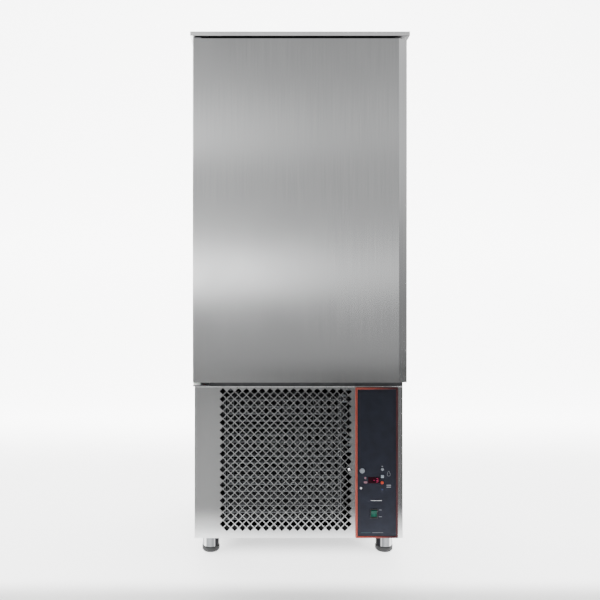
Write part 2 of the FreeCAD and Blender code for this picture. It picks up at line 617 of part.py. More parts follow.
def make_keys():
    flange_front = BODY_FRONT + SIDE_CLEARANCE
    flange_back = BODY_FRONT + KEY_FLANGE
    for name, (right, up, radius) in ROUND_KEYS.items():
        x, z = on_fascia((right, up))
        cap = key_solid(x, z, radius, 0.0)
        face_edge = [edge for edge in cap.Edges if edge.CenterOfMass.y < FASCIA_FACE - KEY_RISE + 0.1]
        cap = cap.makeFillet(KEY_ROUNDING, face_edge)
        flange = rod(radius + KEY_FLANGE_WIDTH, V(x, flange_front, z), V(x, flange_back, z))
        save(name, cap.fuse(flange))
    x, z = on_fascia(SQUARE_KEY_PLACE)
    half = SQUARE_KEY_SIZE / 2 + KEY_FLANGE_WIDTH
    flange = block(x - half, x + half, flange_front, flange_back, z - half, z + half)
    cap = square_key_solid(x, z, 0.0)
    face_edges = [edge for edge in cap.Edges if edge.CenterOfMass.y < FASCIA_FACE - KEY_RISE + 0.1]
    save("key_mode", cap.makeFillet(KEY_ROUNDING, face_edges).fuse(flange))


def make_fascia():
    plate = block(FASCIA_LEFT + FRAME_WIDTH, FASCIA_RIGHT - FRAME_WIDTH, FASCIA_FACE, BODY_FRONT,
                  FASCIA_BOTTOM + FRAME_WIDTH, FASCIA_TOP - FRAME_WIDTH)
    holes = []
    for right, up, radius in ROUND_KEYS.values():
        x, z = on_fascia((right, up))
        holes.append(key_solid(x, z, radius, SIDE_CLEARANCE))
    x, z = on_fascia(SQUARE_KEY_PLACE)
    holes.append(square_key_solid(x, z, SIDE_CLEARANCE))
    x, z = on_fascia(ROCKER_PLACE)
    half_x = BEZEL_WIDTH / 2 - HOUSING_STEP
    half_z = BEZEL_HEIGHT / 2 - HOUSING_STEP
    holes.append(block(x - half_x, x + half_x, FASCIA_FACE - 1, BODY_FRONT + 1, z - half_z, z + half_z))
    save("control_fascia", plate.cut(Part.Compound(holes)))

    outside = block(FASCIA_LEFT, FASCIA_RIGHT, BODY_FRONT - FRAME_RISE, BODY_FRONT,
                    FASCIA_BOTTOM, FASCIA_TOP)
    face_edges = [edge for edge in outside.Edges if edge.CenterOfMass.y < BODY_FRONT - FRAME_RISE + 0.1]
    outside = outside.makeChamfer(FRAME_RISE / 2, face_edges)
    inside = block(FASCIA_LEFT + FRAME_WIDTH, FASCIA_RIGHT - FRAME_WIDTH, BODY_FRONT - FRAME_RISE - 1,
                   BODY_FRONT + 1, FASCIA_BOTTOM + FRAME_WIDTH, FASCIA_TOP - FRAME_WIDTH)
    save("fascia_frame", outside.cut(inside))

    x, z = on_fascia(DISPLAY_PLACE)
    save("display_window", block(x - DISPLAY_WIDTH / 2, x + DISPLAY_WIDTH / 2, FASCIA_FACE - LENS_THICKNESS,
                                 FASCIA_FACE, z - DISPLAY_HEIGHT / 2, z + DISPLAY_HEIGHT / 2))


def make_indicator_lamps():
    """Four small lenses on the fascia: a dot, a lozenge, a square and a lower dot."""
    front = FASCIA_FACE - LENS_THICKNESS
    x, z = on_fascia(DOT_LAMP_PLACE)
    dot = rod(DOT_LAMP_RADIUS, V(x, front, z), V(x, FASCIA_FACE, z))
    x, z = on_fascia(LOZENGE_LAMP_PLACE)
    lozenge = prism([V(x - LOZENGE_LAMP_HALF_WIDTH, front, z), V(x, front, z - LOZENGE_LAMP_HALF_HEIGHT),
                     V(x + LOZENGE_LAMP_HALF_WIDTH, front, z), V(x, front, z + LOZENGE_LAMP_HALF_HEIGHT)],
                    V(0, LENS_THICKNESS, 0))
    x, z = on_fascia(SQUARE_LAMP_PLACE)
    half = SQUARE_LAMP_SIZE / 2
    square = block(x - half, x + half, front, FASCIA_FACE, z - half, z + half)
    x, z = on_fascia(LOWER_LAMP_PLACE)
    lower_dot = rod(LOWER_LAMP_RADIUS, V(x, front, z), V(x, FASCIA_FACE, z))
    save("indicator_lamps", dot, lozenge, square, lower_dot)


def make_rocker():
    """Tipping key whose ends are arcs about its pivot, so that its gap to the bezel stays the same."""
    x0 = -ROCKER_WIDTH / 2
    top = V(x0, -ROCKER_REACH, ROCKER_HALF_HEIGHT)
    dip = V(x0, ROCKER_DIP - ROCKER_REACH, 0)
    bottom = V(x0, -ROCKER_REACH, -ROCKER_HALF_HEIGHT)
    back_radius = 6.0
    lower_side = V(x0, 0, -ROCKER_RADIUS)
    upper_side = V(x0, 0, ROCKER_RADIUS)
    swing = math.atan2(ROCKER_HALF_HEIGHT, ROCKER_REACH) / 2 + math.pi / 4
    lower_middle = V(x0, -ROCKER_RADIUS * math.cos(swing), -ROCKER_RADIUS * math.sin(swing))
    upper_middle = V(x0, -ROCKER_RADIUS * math.cos(swing), ROCKER_RADIUS * math.sin(swing))
    edges = [Part.LineSegment(top, dip).toShape(), Part.LineSegment(dip, bottom).toShape(),
             Part.Arc(bottom, lower_middle, lower_side).toShape(),
             Part.LineSegment(lower_side, V(x0, back_radius, 0)).toShape(),
             Part.LineSegment(V(x0, back_radius, 0), upper_side).toShape(),
             Part.Arc(upper_side, upper_middle, top).toShape()]
    body = Part.Face(Part.Wire(edges)).extrude(V(ROCKER_WIDTH, 0, 0))
    body.rotate(V(0, 0, 0), V(1, 0, 0), ROCKER_TIP_DEGREES)
    pin_reach = ROCKER_WIDTH / 2 + ROCKER_GAP + ROCKER_PIN_GRIP
    body = body.fuse(rod(ROCKER_PIN_RADIUS, V(-pin_reach, 0, 0), V(pin_reach, 0, 0)))
    body.translate(V(ROCKER_X, ROCKER_Y, ROCKER_Z))
    save("rocker", body)

    half_x = ROCKER_WIDTH / 2 + ROCKER_GAP
    half_z = ROCKER_RADIUS + ROCKER_GAP
    flange = block(ROCKER_X - BEZEL_WIDTH / 2, ROCKER_X + BEZEL_WIDTH / 2, FASCIA_FACE - BEZEL_RISE,
                   FASCIA_FACE, ROCKER_Z - BEZEL_HEIGHT / 2, ROCKER_Z + BEZEL_HEIGHT / 2)
    housing = block(ROCKER_X - BEZEL_WIDTH / 2 + HOUSING_STEP, ROCKER_X + BEZEL_WIDTH / 2 - HOUSING_STEP,
                    FASCIA_FACE, FASCIA_FACE + SWITCH_DEPTH, ROCKER_Z - BEZEL_HEIGHT / 2 + HOUSING_STEP,
                    ROCKER_Z + BEZEL_HEIGHT / 2 - HOUSING_STEP)
    well = block(ROCKER_X - half_x, ROCKER_X + half_x, FASCIA_FACE - BEZEL_RISE - 1,
                 FASCIA_FACE + SWITCH_DEPTH - 2, ROCKER_Z - half_z, ROCKER_Z + half_z)
    hole_reach = pin_reach + SIDE_CLEARANCE
    pin_hole = rod(ROCKER_PIN_RADIUS + RUNNING_CLEARANCE, V(ROCKER_X - hole_reach, ROCKER_Y, ROCKER_Z),
                   V(ROCKER_X + hole_reach, ROCKER_Y, ROCKER_Z))
    save("rocker_bezel", flange.fuse(housing).cut(well).cut(pin_hole))


def make_control_box():
    """Sheet box behind the fascia, open at the front, with the board, transformer and terminals in it."""
    x0, x1 = CONTROL_BOX_LEFT, CONTROL_BOX_RIGHT
    z0, z1 = CONTROL_BOX_BOTTOM, CONTROL_BOX_TOP
    y0 = BODY_FRONT + SHEET
    y1 = y0 + CONTROL_BOX_DEPTH
    wall_y = y1 - SHEET
    outside = block(x0 - SHEET, x1 + SHEET, y0, y1, z0 - SHEET, z1 + SHEET)
    save("control_box", outside.cut(block(x0, x1, y0, wall_y, z0, z1)))

    board_front = BODY_FRONT + BOARD_SETBACK
    board_back = board_front + BOARD_THICKNESS
    key_z = on_fascia(ROUND_KEYS["key_start"])[1]
    low, high = key_z - BOARD_BELOW_KEY, key_z + BOARD_ABOVE_KEY
    left, right = x0 + BOARD_SIDE_GAP, x1 - BOARD_SIDE_GAP
    parts = [block(left, right, board_front, board_back, low, high)]
    switch_front = BODY_FRONT + KEY_FLANGE + KEY_TRAVEL + SIDE_CLEARANCE
    half = SWITCH_SIZE / 2
    for place in [key[:2] for key in ROUND_KEYS.values()] + [SQUARE_KEY_PLACE]:
        x, z = on_fascia(place)
        parts.append(block(x - half, x + half, switch_front, board_front, z - half, z + half))
    for x in (left + STANDOFF_INSET, right - STANDOFF_INSET):
        for z in (low + STANDOFF_MARGIN, high - STANDOFF_MARGIN):
            parts.append(rod(STANDOFF_RADIUS, V(x, board_back, z), V(x, wall_y, z)))
    save("control_board", *parts)

    middle = (x0 + x1) / 2
    top = z1 - TRANSFORMER_TOP_GAP
    transformer = block(middle - TRANSFORMER_WIDTH / 2, middle + TRANSFORMER_WIDTH / 2,
                        wall_y - TRANSFORMER_DEPTH, wall_y, top - TRANSFORMER_HEIGHT, top)
    base_left = middle - TERMINALS_WIDTH / 2
    base_z = key_z - TERMINALS_BELOW_KEY
    base_front = wall_y - TERMINALS_DEPTH
    base_top = base_z + TERMINALS_HEIGHT
    base = block(base_left, base_left + TERMINALS_WIDTH, base_front, wall_y, base_z, base_top)
    slots = []
    for index in range(TERMINAL_COUNT):
        x = base_left + TERMINAL_RIM + index * TERMINAL_PITCH
        slots.append(block(x, x + TERMINAL_SLOT, base_front - 1, base_front + TERMINAL_SLOT_DEPTH,
                           base_z + TERMINAL_RIM, base_top - TERMINAL_RIM))
    save("transformer_and_terminals", transformer, base.cut(Part.Compound(slots)))


# ---------------------------------------------------------------- feet

def make_feet():
    """Fixed steel sleeves, each with a black foot on a stem that screws up into it."""
    sleeves = []
    sleeve_bottom = FOOT_END_HEIGHT + SIDE_CLEARANCE
    for name, (x, y) in FOOT_PLACES.items():
        sleeve = tube(FOOT_TUBE_RADIUS, FOOT_TUBE_RADIUS - FOOT_TUBE_WALL, V(x, y, sleeve_bottom),
                      V(x, y, FOOT_HEIGHT))
        nut = tube(FOOT_TUBE_RADIUS - FOOT_TUBE_WALL, FOOT_STEM_RADIUS + SIDE_CLEARANCE,
                   V(x, y, FOOT_HEIGHT - FOOT_NUT_HEIGHT), V(x, y, FOOT_HEIGHT))
        sleeves.append(sleeve.fuse(nut))
        end = rod(FOOT_END_RADIUS, V(x, y, 0), V(x, y, FOOT_END_HEIGHT))
        bottom_edge = [edge for edge in end.Edges if edge.CenterOfMass.z < 0.1]
        end = end.makeChamfer(FOOT_CHAMFER, bottom_edge)
        stem = rod(FOOT_STEM_RADIUS, V(x, y, FOOT_END_HEIGHT), V(x, y, FOOT_HEIGHT + STEM_RISE))
        save(name, end.fuse(stem))
    save("foot_sleeves", *sleeves)


# ---------------------------------------------------------------- door and hinge

def door_outline(inset):
    """Level section of the door, drawn in by the inset, with a bevel and a pull lip at its free edge."""
    radius = DOOR_EDGE_RADIUS - inset
    left = -HALF_WIDTH + inset
    front = FRONT + inset
    shift = inset * math.tan(math.atan2(BEVEL_DROP, BEVEL_WIDTH) / 2)
    slope = BEVEL_DROP / BEVEL_WIDTH
    lip_x = HALF_WIDTH - inset
    lip_front = front + (lip_x - BEVEL_X + shift) * slope
    root_slope = LIP_ROOT_DROP / GRIP_DEPTH
    lip_rear = LIP_BACK - inset * (math.hypot(1, root_slope) - root_slope)
    grip_x = GRIP_X - inset
    grip_front = GRIP_FRONT + inset * (root_slope - math.hypot(1, root_slope))
    corner = V(left + radius, front + radius, DOOR_BOTTOM)
    middle = corner + V(-radius, -radius, 0) * math.sqrt(0.5)
    points = [V(left + radius, front, DOOR_BOTTOM), V(BEVEL_X - shift, front, DOOR_BOTTOM),
              V(lip_x, lip_front, DOOR_BOTTOM), V(lip_x, lip_rear, DOOR_BOTTOM),
              V(grip_x, grip_front, DOOR_BOTTOM), V(grip_x, DOOR_BACK, DOOR_BOTTOM),
              V(left, DOOR_BACK, DOOR_BOTTOM), V(left, front + radius, DOOR_BOTTOM)]
    edges = [Part.LineSegment(a, b).toShape() for a, b in zip(points, points[1:])]
    edges.append(Part.Arc(points[-1], middle, points[0]).toShape())
    return Part.Face(Part.Wire(edges))


def hinge_blocks():
    half = HINGE_BLOCK / 2
    outline = (HINGE_X - half + HINGE_BLOCK_TRIM, HINGE_X + half, HINGE_Y - half, HINGE_Y + half)
    lower = block(*outline, DOOR_BOTTOM + SHEET, DOOR_BOTTOM + SHEET + HINGE_BLOCK_HEIGHT)
    upper = block(*outline, DOOR_TOP - SHEET - HINGE_BLOCK_HEIGHT, DOOR_TOP - SHEET)
    return lower, upper


def pin_bores():
    bore = HINGE_PIN_RADIUS + RUNNING_CLEARANCE
    depth = HINGE_PIN_GRIP + 1
    lower = rod(bore, V(HINGE_X, HINGE_Y, DOOR_BOTTOM - 1), V(HINGE_X, HINGE_Y, DOOR_BOTTOM + depth))
    upper = rod(bore, V(HINGE_X, HINGE_Y, DOOR_TOP - depth), V(HINGE_X, HINGE_Y, DOOR_TOP + 1))
    return Part.Compound([lower, upper])


def make_door():
    outer = door_outline(0.0).extrude(V(0, 0, DOOR_HEIGHT))
    inner = door_outline(SHEET).extrude(V(0, 0, DOOR_HEIGHT - 2 * SHEET))
    inner.translate(V(0, 0, SHEET))
    panel = block(-HALF_WIDTH + SHEET, GRIP_X - SHEET, DOOR_BACK - SHEET, DOOR_BACK, DOOR_BOTTOM + SHEET,
                  DOOR_TOP - SHEET)
    save("door_inner_panel", panel)
    save("door_outer_skin", outer.cut([inner, panel, pin_bores()]))
    lower, upper = hinge_blocks()
    save("door_hinge_blocks", lower.cut(pin_bores()), upper.cut(pin_bores()))

    save("door_foam", inner.cut([lower, upper, panel]))

    ring_outer = CHAMBER_HALF + GASKET_INSET + GASKET_WIDTH
    ring_inner = CHAMBER_HALF + GASKET_INSET
    rise_outer = GASKET_INSET + GASKET_WIDTH
    gasket = block(-ring_outer, ring_outer, DOOR_BACK, GASKET_BACK, CHAMBER_FLOOR - rise_outer,
                   CHAMBER_CEILING + rise_outer)
    mouth = block(-ring_inner, ring_inner, DOOR_BACK - 1, GASKET_BACK + 1, CHAMBER_FLOOR - GASKET_INSET,
                  CHAMBER_CEILING + GASKET_INSET)
    save("door_gasket", gasket.cut(mouth))


def make_hinges():
    """Bracket plates on the cabinet above and below the door, their pins, and the nylon bush."""
    x0 = -HALF_WIDTH + HINGE_PLATE_INSET
    x1 = x0 + HINGE_PLATE_WIDTH
    y0 = HINGE_Y - HINGE_BLOCK / 2
    upper_x1 = x0 + HINGE_BLOCK + HINGE_PLATE_MARGIN
    top_z0 = DOOR_TOP + HINGE_TOP_GAP
    top_plate = block(x0, upper_x1, y0, BODY_FRONT, top_z0, top_z0 + HINGE_PLATE)
    top_leg = block(x0, upper_x1, BODY_FRONT - HINGE_LEG, BODY_FRONT, top_z0 - HINGE_LEG_HEIGHT, top_z0)
    low_z1 = DOOR_BOTTOM - SIDE_CLEARANCE - BUSH_HEIGHT
    low_plate = block(x0, x1, y0, BODY_FRONT, low_z1 - HINGE_PLATE, low_z1)
    low_leg = block(x0, x1, BODY_FRONT - HINGE_LEG, BODY_FRONT, low_z1, low_z1 + HINGE_LEG_HEIGHT)
    save("hinge_plates", top_plate.fuse(top_leg), low_plate.fuse(low_leg))
    top_pin = rod(HINGE_PIN_RADIUS, V(HINGE_X, HINGE_Y, DOOR_TOP - HINGE_PIN_GRIP),
                  V(HINGE_X, HINGE_Y, top_z0))
    low_pin = rod(HINGE_PIN_RADIUS, V(HINGE_X, HINGE_Y, low_z1),
                  V(HINGE_X, HINGE_Y, DOOR_BOTTOM + HINGE_PIN_GRIP))
    save("hinge_pins", top_pin, low_pin)
    save("hinge_bush", tube(BUSH_RADIUS, HINGE_PIN_RADIUS, V(HINGE_X, HINGE_Y, low_z1),
                            V(HINGE_X, HINGE_Y, low_z1 + BUSH_HEIGHT)))


# ---------------------------------------------------------------- tray rack

def make_rack():
    """Four square uprights and, on each side, a runner angle at every level, its leg turned down."""
    top = CHAMBER_FLOOR + FIRST_LEVEL + TRAY_LEVELS * LEVEL_PITCH
    uprights = []
    for side in (-1, 1):
        x0, x1 = sorted((side * RUNNER_OUTER, side * (RUNNER_OUTER + UPRIGHT)))
        for y in (RACK_FRONT + UPRIGHT_FRONT_SETBACK, RACK_BACK - UPRIGHT_REAR_SETBACK):
            outside = block(x0, x1, y, y + UPRIGHT, CHAMBER_FLOOR, top)
            inside = block(x0 + RUNNER_SHEET, x1 - RUNNER_SHEET, y + RUNNER_SHEET,
                           y + UPRIGHT - RUNNER_SHEET, CHAMBER_FLOOR - 1, top + 1)
            uprights.append(outside.cut(inside))
    save("rack_uprights", *uprights)
    for name, side in (("tray_runners_left", -1), ("tray_runners_right", 1)):
        runners = []
        shelf = sorted((side * RUNNER_OUTER, side * (RUNNER_OUTER - RUNNER_WIDTH)))
        leg = sorted((side * RUNNER_OUTER, side * (RUNNER_OUTER - RUNNER_SHEET)))
        for level in range(TRAY_LEVELS):
            z = CHAMBER_FLOOR + FIRST_LEVEL + level * LEVEL_PITCH
            flat = block(*shelf, RACK_FRONT, RACK_BACK, z - RUNNER_SHEET, z)
            down = block(*leg, RACK_FRONT, RACK_BACK, z - RUNNER_LEG, z - RUNNER_SHEET)
            runners.append(flat.fuse(down))
        save(name, *runners)


# ---------------------------------------------------------------- coils, fans and motors

def coil_columns(y_front):
    slack = (COIL_DEPTH - COIL_COLUMN_SPACING) / 2
    return y_front + slack, y_front + slack + COIL_COLUMN_SPACING


def coil_circuit(x_left, x_right, y_front, rows, pitch, first_z):
    """One tube: down the front column of passes, across, and up the rear column."""
    front, rear = coil_columns(y_front)
    points = []
    for y, order in ((front, range(rows - 1, -1, -1)), (rear, range(rows))):
        for step, row in enumerate(order):
            z = first_z + row * pitch
            x_start, x_end = (x_right, x_left) if step % 2 == 0 else (x_left, x_right)
            points += [V(x_start, y, z), V(x_end, y, z)]
    return pipe(points, COIL_TUBE_RADIUS, min(pitch, COIL_COLUMN_SPACING) / 2)


def coil_fins(x_first, x_last, y_front, rows, pitch, first_z, count, plate_sheet):
    """Level row of upright plates with a hole for every pass of the tube."""
    reach = pitch / 2
    y_back = y_front + COIL_DEPTH
    top = first_z + (rows - 1) * pitch + reach
    plate = block(0, plate_sheet, y_front, y_back, first_z - reach, top)
    holes = [rod(COIL_TUBE_RADIUS, V(-1, y, z), V(plate_sheet + 1, y, z))
             for y in coil_columns(y_front) for z in [first_z + row * pitch for row in range(rows)]]
    plate = plate.cut(Part.Compound(holes))
    plates = []
    for index in range(count):
        copy = plate.copy()
        copy.translate(V(x_first + (x_last - x_first) * index / (count - 1) - plate_sheet / 2, 0, 0))
        plates.append(copy)
    return plates


def fan_wheel(center, radius):
    """Axial fan on a level shaft: a bored hub with flat, pitched blades trimmed to a circle."""
    half = HUB_DEPTH / 2
    wheel = rod(HUB_RADIUS, V(0, -half, 0), V(0, half, 0))
    chord = radius * BLADE_CHORD_RATIO
    blade = block(HUB_RADIUS - BLADE_ROOT, radius + 1, -chord / 2, chord / 2,
                  -BLADE_SHEET / 2, BLADE_SHEET / 2)
    blade.rotate(V(0, 0, 0), V(1, 0, 0), BLADE_PITCH_DEGREES)
    blade = blade.common(rod(radius, V(0, -chord, 0), V(0, chord, 0)))
    for index in range(FAN_BLADES):
        copy = blade.copy()
        copy.rotate(V(0, 0, 0), V(0, 1, 0), 360 * index / FAN_BLADES)
        wheel = wheel.fuse(copy)
    wheel = wheel.cut(rod(SHAFT_RADIUS + RUNNING_CLEARANCE, V(0, HUB_NOSE - half, 0), V(0, half + 1, 0)))
    wheel.translate(V(*center))
    return wheel


def fan_motor(center):
    """Motor can behind the wheel, its shaft inside the hub's bore."""
    x, y, z = center
    front = y + HUB_DEPTH / 2 + MOTOR_GAP
    can = rod(MOTOR_RADIUS, V(x, front, z), V(x, front + MOTOR_LENGTH, z))
    shaft = rod(SHAFT_RADIUS, V(x, y - HUB_DEPTH / 2 + HUB_NOSE + SHAFT_END_GAP, z), V(x, front, z))
    return can.fuse(shaft), front + MOTOR_LENGTH


def motor_bracket(center, back, plate_y, half_span):
    """Flat strap across the back of a motor, with two arms forward to the plate that carries it."""
    x, _, z = center
    z0, z1 = z - BRACKET_HALF_HEIGHT, z + BRACKET_HALF_HEIGHT
    strap = block(x - half_span, x + half_span, back, back + BRACKET_SHEET, z0, z1)
    half = BRACKET_SHEET / 2
    arms = [block(x + side * half_span - half, x + side * half_span + half, plate_y, back + BRACKET_SHEET,
                  z0, z1) for side in (-1, 1)]
    return strap.fuse(arms)


def fan_guard(center, y_plate, radius):
    """Wire guard: rings on crossed bars, whose turned ends stand on the plate."""
    guard = Part.makeTorus(radius, GUARD_WIRE, V(0, 0, 0), V(0, 1, 0))
    for index in range(1, GUARD_RINGS):
        guard = guard.fuse(Part.makeTorus(radius * index / GUARD_RINGS, GUARD_WIRE, V(0, 0, 0), V(0, 1, 0)))
    for arm in (V(radius, 0, 0), V(0, 0, radius)):
        guard = guard.fuse(rod(GUARD_BAR, arm * -1, arm))
        for end in (arm * -1, arm):
            guard = guard.fuse(rod(GUARD_BAR, end, end + V(0, GUARD_RISE, 0)))
    guard.translate(V(center[0], y_plate - GUARD_RISE, center[2]))
    return guard


def make_evaporator():
    """Cover with two fans, and the coil behind it, hung on the rear liner wall."""
    cover = block(-CHAMBER_HALF + 1, CHAMBER_HALF - 1, COVER_Y, COVER_Y + COVER_SHEET,
                  COVER_BOTTOM, COVER_TOP)
    for x0, x1 in ((-CHAMBER_HALF, -CHAMBER_HALF + COVER_SHEET), (CHAMBER_HALF - COVER_SHEET, CHAMBER_HALF)):
        cover = cover.fuse(block(x0, x1, COVER_Y, COVER_Y + FOLD, COVER_BOTTOM, COVER_TOP))
    opening = EVAPORATOR_FAN_RADIUS + FAN_RING_GAP
    for _, _, z in EVAPORATOR_FAN_CENTERS:
        cover = cover.cut(rod(opening, V(0, COVER_Y - 1, z), V(0, COVER_Y + FOLD, z)))
    save("evaporator_cover", cover)

    motors, brackets, guards = [], [], []
    for name, center in zip(("evaporator_fan_lower", "evaporator_fan_upper"), EVAPORATOR_FAN_CENTERS):
        save(name, fan_wheel(center, EVAPORATOR_FAN_RADIUS))
        motor, back = fan_motor(center)
        motors.append(motor)
        brackets.append(motor_bracket(center, back, COVER_Y + COVER_SHEET, opening + BRACKET_MARGIN))
        guards.append(fan_guard(center, COVER_Y, opening + GUARD_MARGIN))
    save("fan_guards", *guards)

    half = EVAPORATOR_HALF_WIDTH
    first_z = EVAPORATOR_FIRST_ROW
    size = (EVAPORATOR_Y, EVAPORATOR_ROWS, EVAPORATOR_PITCH, first_z)
    spread = half - EVAPORATOR_BEND_REACH
    save("evaporator_tubes", coil_circuit(-half, half, *size))
    fins = coil_fins(-spread, spread, *size, EVAPORATOR_FINS, FIN_SHEET)
    plates = coil_fins(-spread - END_PLATE_OFFSET, spread + END_PLATE_OFFSET, *size, 2, END_PLATE)
    hangers = []
    for plate in plates:
        x0, x1 = plate.BoundBox.XMin, plate.BoundBox.XMax
        rear = [block(x0, x1, EVAPORATOR_Y + COIL_DEPTH, CHAMBER_BACK, z - HANGER_HALF_HEIGHT,
                      z + HANGER_HALF_HEIGHT)
                for z in (first_z + HANGER_INSET, EVAPORATOR_TOP_ROW - HANGER_INSET)]
        hangers.append(plate.fuse(rear))
    save("evaporator_fins", *fins, *hangers)
    return motors, brackets


def make_condenser():
    """Coil that shows through the diamond holes, with its fan ring, fan and motor behind."""
    first_z = FOOT_HEIGHT + CONDENSER_FIRST_ROW
    size = (CONDENSER_Y, CONDENSER_ROWS, CONDENSER_PITCH, first_z)
    save("condenser_tubes", coil_circuit(CONDENSER_LEFT, CONDENSER_RIGHT, *size))
    x0, x1 = CONDENSER_LEFT + CONDENSER_BEND_REACH, CONDENSER_RIGHT - CONDENSER_BEND_REACH
    fins = coil_fins(x0, x1, *size, CONDENSER_FINS, FIN_SHEET)
    z0, z1 = fins[0].BoundBox.ZMin, fins[0].BoundBox.ZMax
    y0 = CONDENSER_Y + COIL_DEPTH
    plates = []
    for plate in coil_fins(x0 - END_PLATE_OFFSET, x1 + END_PLATE_OFFSET, *size, 2, END_PLATE):
        box = plate.BoundBox
        plates.append(plate.fuse(block(box.XMin, box.XMax, CONDENSER_Y, y0, BASE_FLOOR, z0)))
    left, right = plates[0].BoundBox.XMin, plates[1].BoundBox.XMax
    save("condenser_fins", *fins, *plates)

    y1 = y0 + SHROUD_DEPTH
    shroud = block(left, right, y0, y1, z0, z1)
    shroud = shroud.cut(block(left + SHEET, right - SHEET, y0 - 1, y1 - SHEET, z0 + SHEET, z1 - SHEET))
    ring = CONDENSER_FAN_RADIUS + FAN_RING_GAP
    center = ((left + right) / 2, CONDENSER_FAN_Y, (z0 + z1) / 2)
    x, _, z = center
    save("condenser_shroud", shroud.cut(rod(ring, V(x, y1 - SHEET - 1, z), V(x, y1 + 1, z))))
    save("condenser_fan", fan_wheel(center, CONDENSER_FAN_RADIUS))
    motor, back = fan_motor(center)
    return motor, motor_bracket(center, back, y1, ring + BRACKET_MARGIN), first_z


def make_compressor():
    """Hermetic pot on a plate with four rubber mounts."""
    bottom = BASE_FLOOR + MOUNT_HEIGHT + COMPRESSOR_PLATE
    top = bottom + COMPRESSOR_HEIGHT
    x, y = COMPRESSOR_X, COMPRESSOR_Y
    wall = COMPRESSOR_RADIUS - COMPRESSOR_SHEET
    pot = rod(COMPRESSOR_RADIUS, V(x, y, bottom), V(x, y, top))
    pot = pot.makeFillet(COMPRESSOR_ROUNDING, [edge for edge in pot.Edges if len(edge.Vertexes) == 1])
    inner = rod(wall, V(x, y, bottom + COMPRESSOR_SHEET), V(x, y, top - COMPRESSOR_SHEET))
    inner = inner.makeFillet(COMPRESSOR_ROUNDING - COMPRESSOR_SHEET,
                             [edge for edge in inner.Edges if len(edge.Vertexes) == 1])
    weld_z = top - WELD_DROP
    weld = tube(COMPRESSOR_RADIUS + WELD_RISE, wall, V(x, y, weld_z), V(x, y, weld_z + WELD_HEIGHT))
    cover_top = top - TERMINAL_COVER_DROP
    half = TERMINAL_COVER_WIDTH / 2
    cover = block(x - COMPRESSOR_RADIUS - TERMINAL_COVER_REACH, x - wall / 2, y - half, y + half,
                  cover_top - TERMINAL_COVER_HEIGHT, cover_top)
    cover = cover.cut(rod(COMPRESSOR_RADIUS - COMPRESSOR_SHEET / 4, V(x, y, bottom), V(x, y, top)))
    pot = pot.fuse([weld, cover]).cut(inner)
    left, right = x - PLATE_LEFT, x + PLATE_RIGHT
    plate_z = bottom - COMPRESSOR_PLATE
    plate = block(left, right, y - PLATE_HALF_DEPTH, y + PLATE_HALF_DEPTH, plate_z, bottom)
    reach = PLATE_HALF_DEPTH - MOUNT_INSET
    mounts = [rod(MOUNT_RADIUS, V(mount_x, mount_y, BASE_FLOOR), V(mount_x, mount_y, plate_z))
              for mount_x in (left + MOUNT_INSET, right - MOUNT_INSET) for mount_y in (y - reach, y + reach)]
    save("compressor", pot.fuse(plate))
    save("compressor_mounts", *mounts)
    return top


def make_receiver():
    """Liquid receiver standing on the base pan."""
    x, y = RECEIVER_X, RECEIVER_Y
    top = BASE_FLOOR + RECEIVER_HEIGHT
    body = rod(RECEIVER_RADIUS, V(x, y, BASE_FLOOR + RECEIVER_FOOT_HEIGHT), V(x, y, top))
    body = body.makeFillet(RECEIVER_ROUNDING, [edge for edge in body.Edges if len(edge.Vertexes) == 1])
    foot = rod(RECEIVER_RADIUS - RECEIVER_FOOT_INSET, V(x, y, BASE_FLOOR),
               V(x, y, BASE_FLOOR + RECEIVER_FOOT_HEIGHT + 1))
    return body.fuse(foot), top


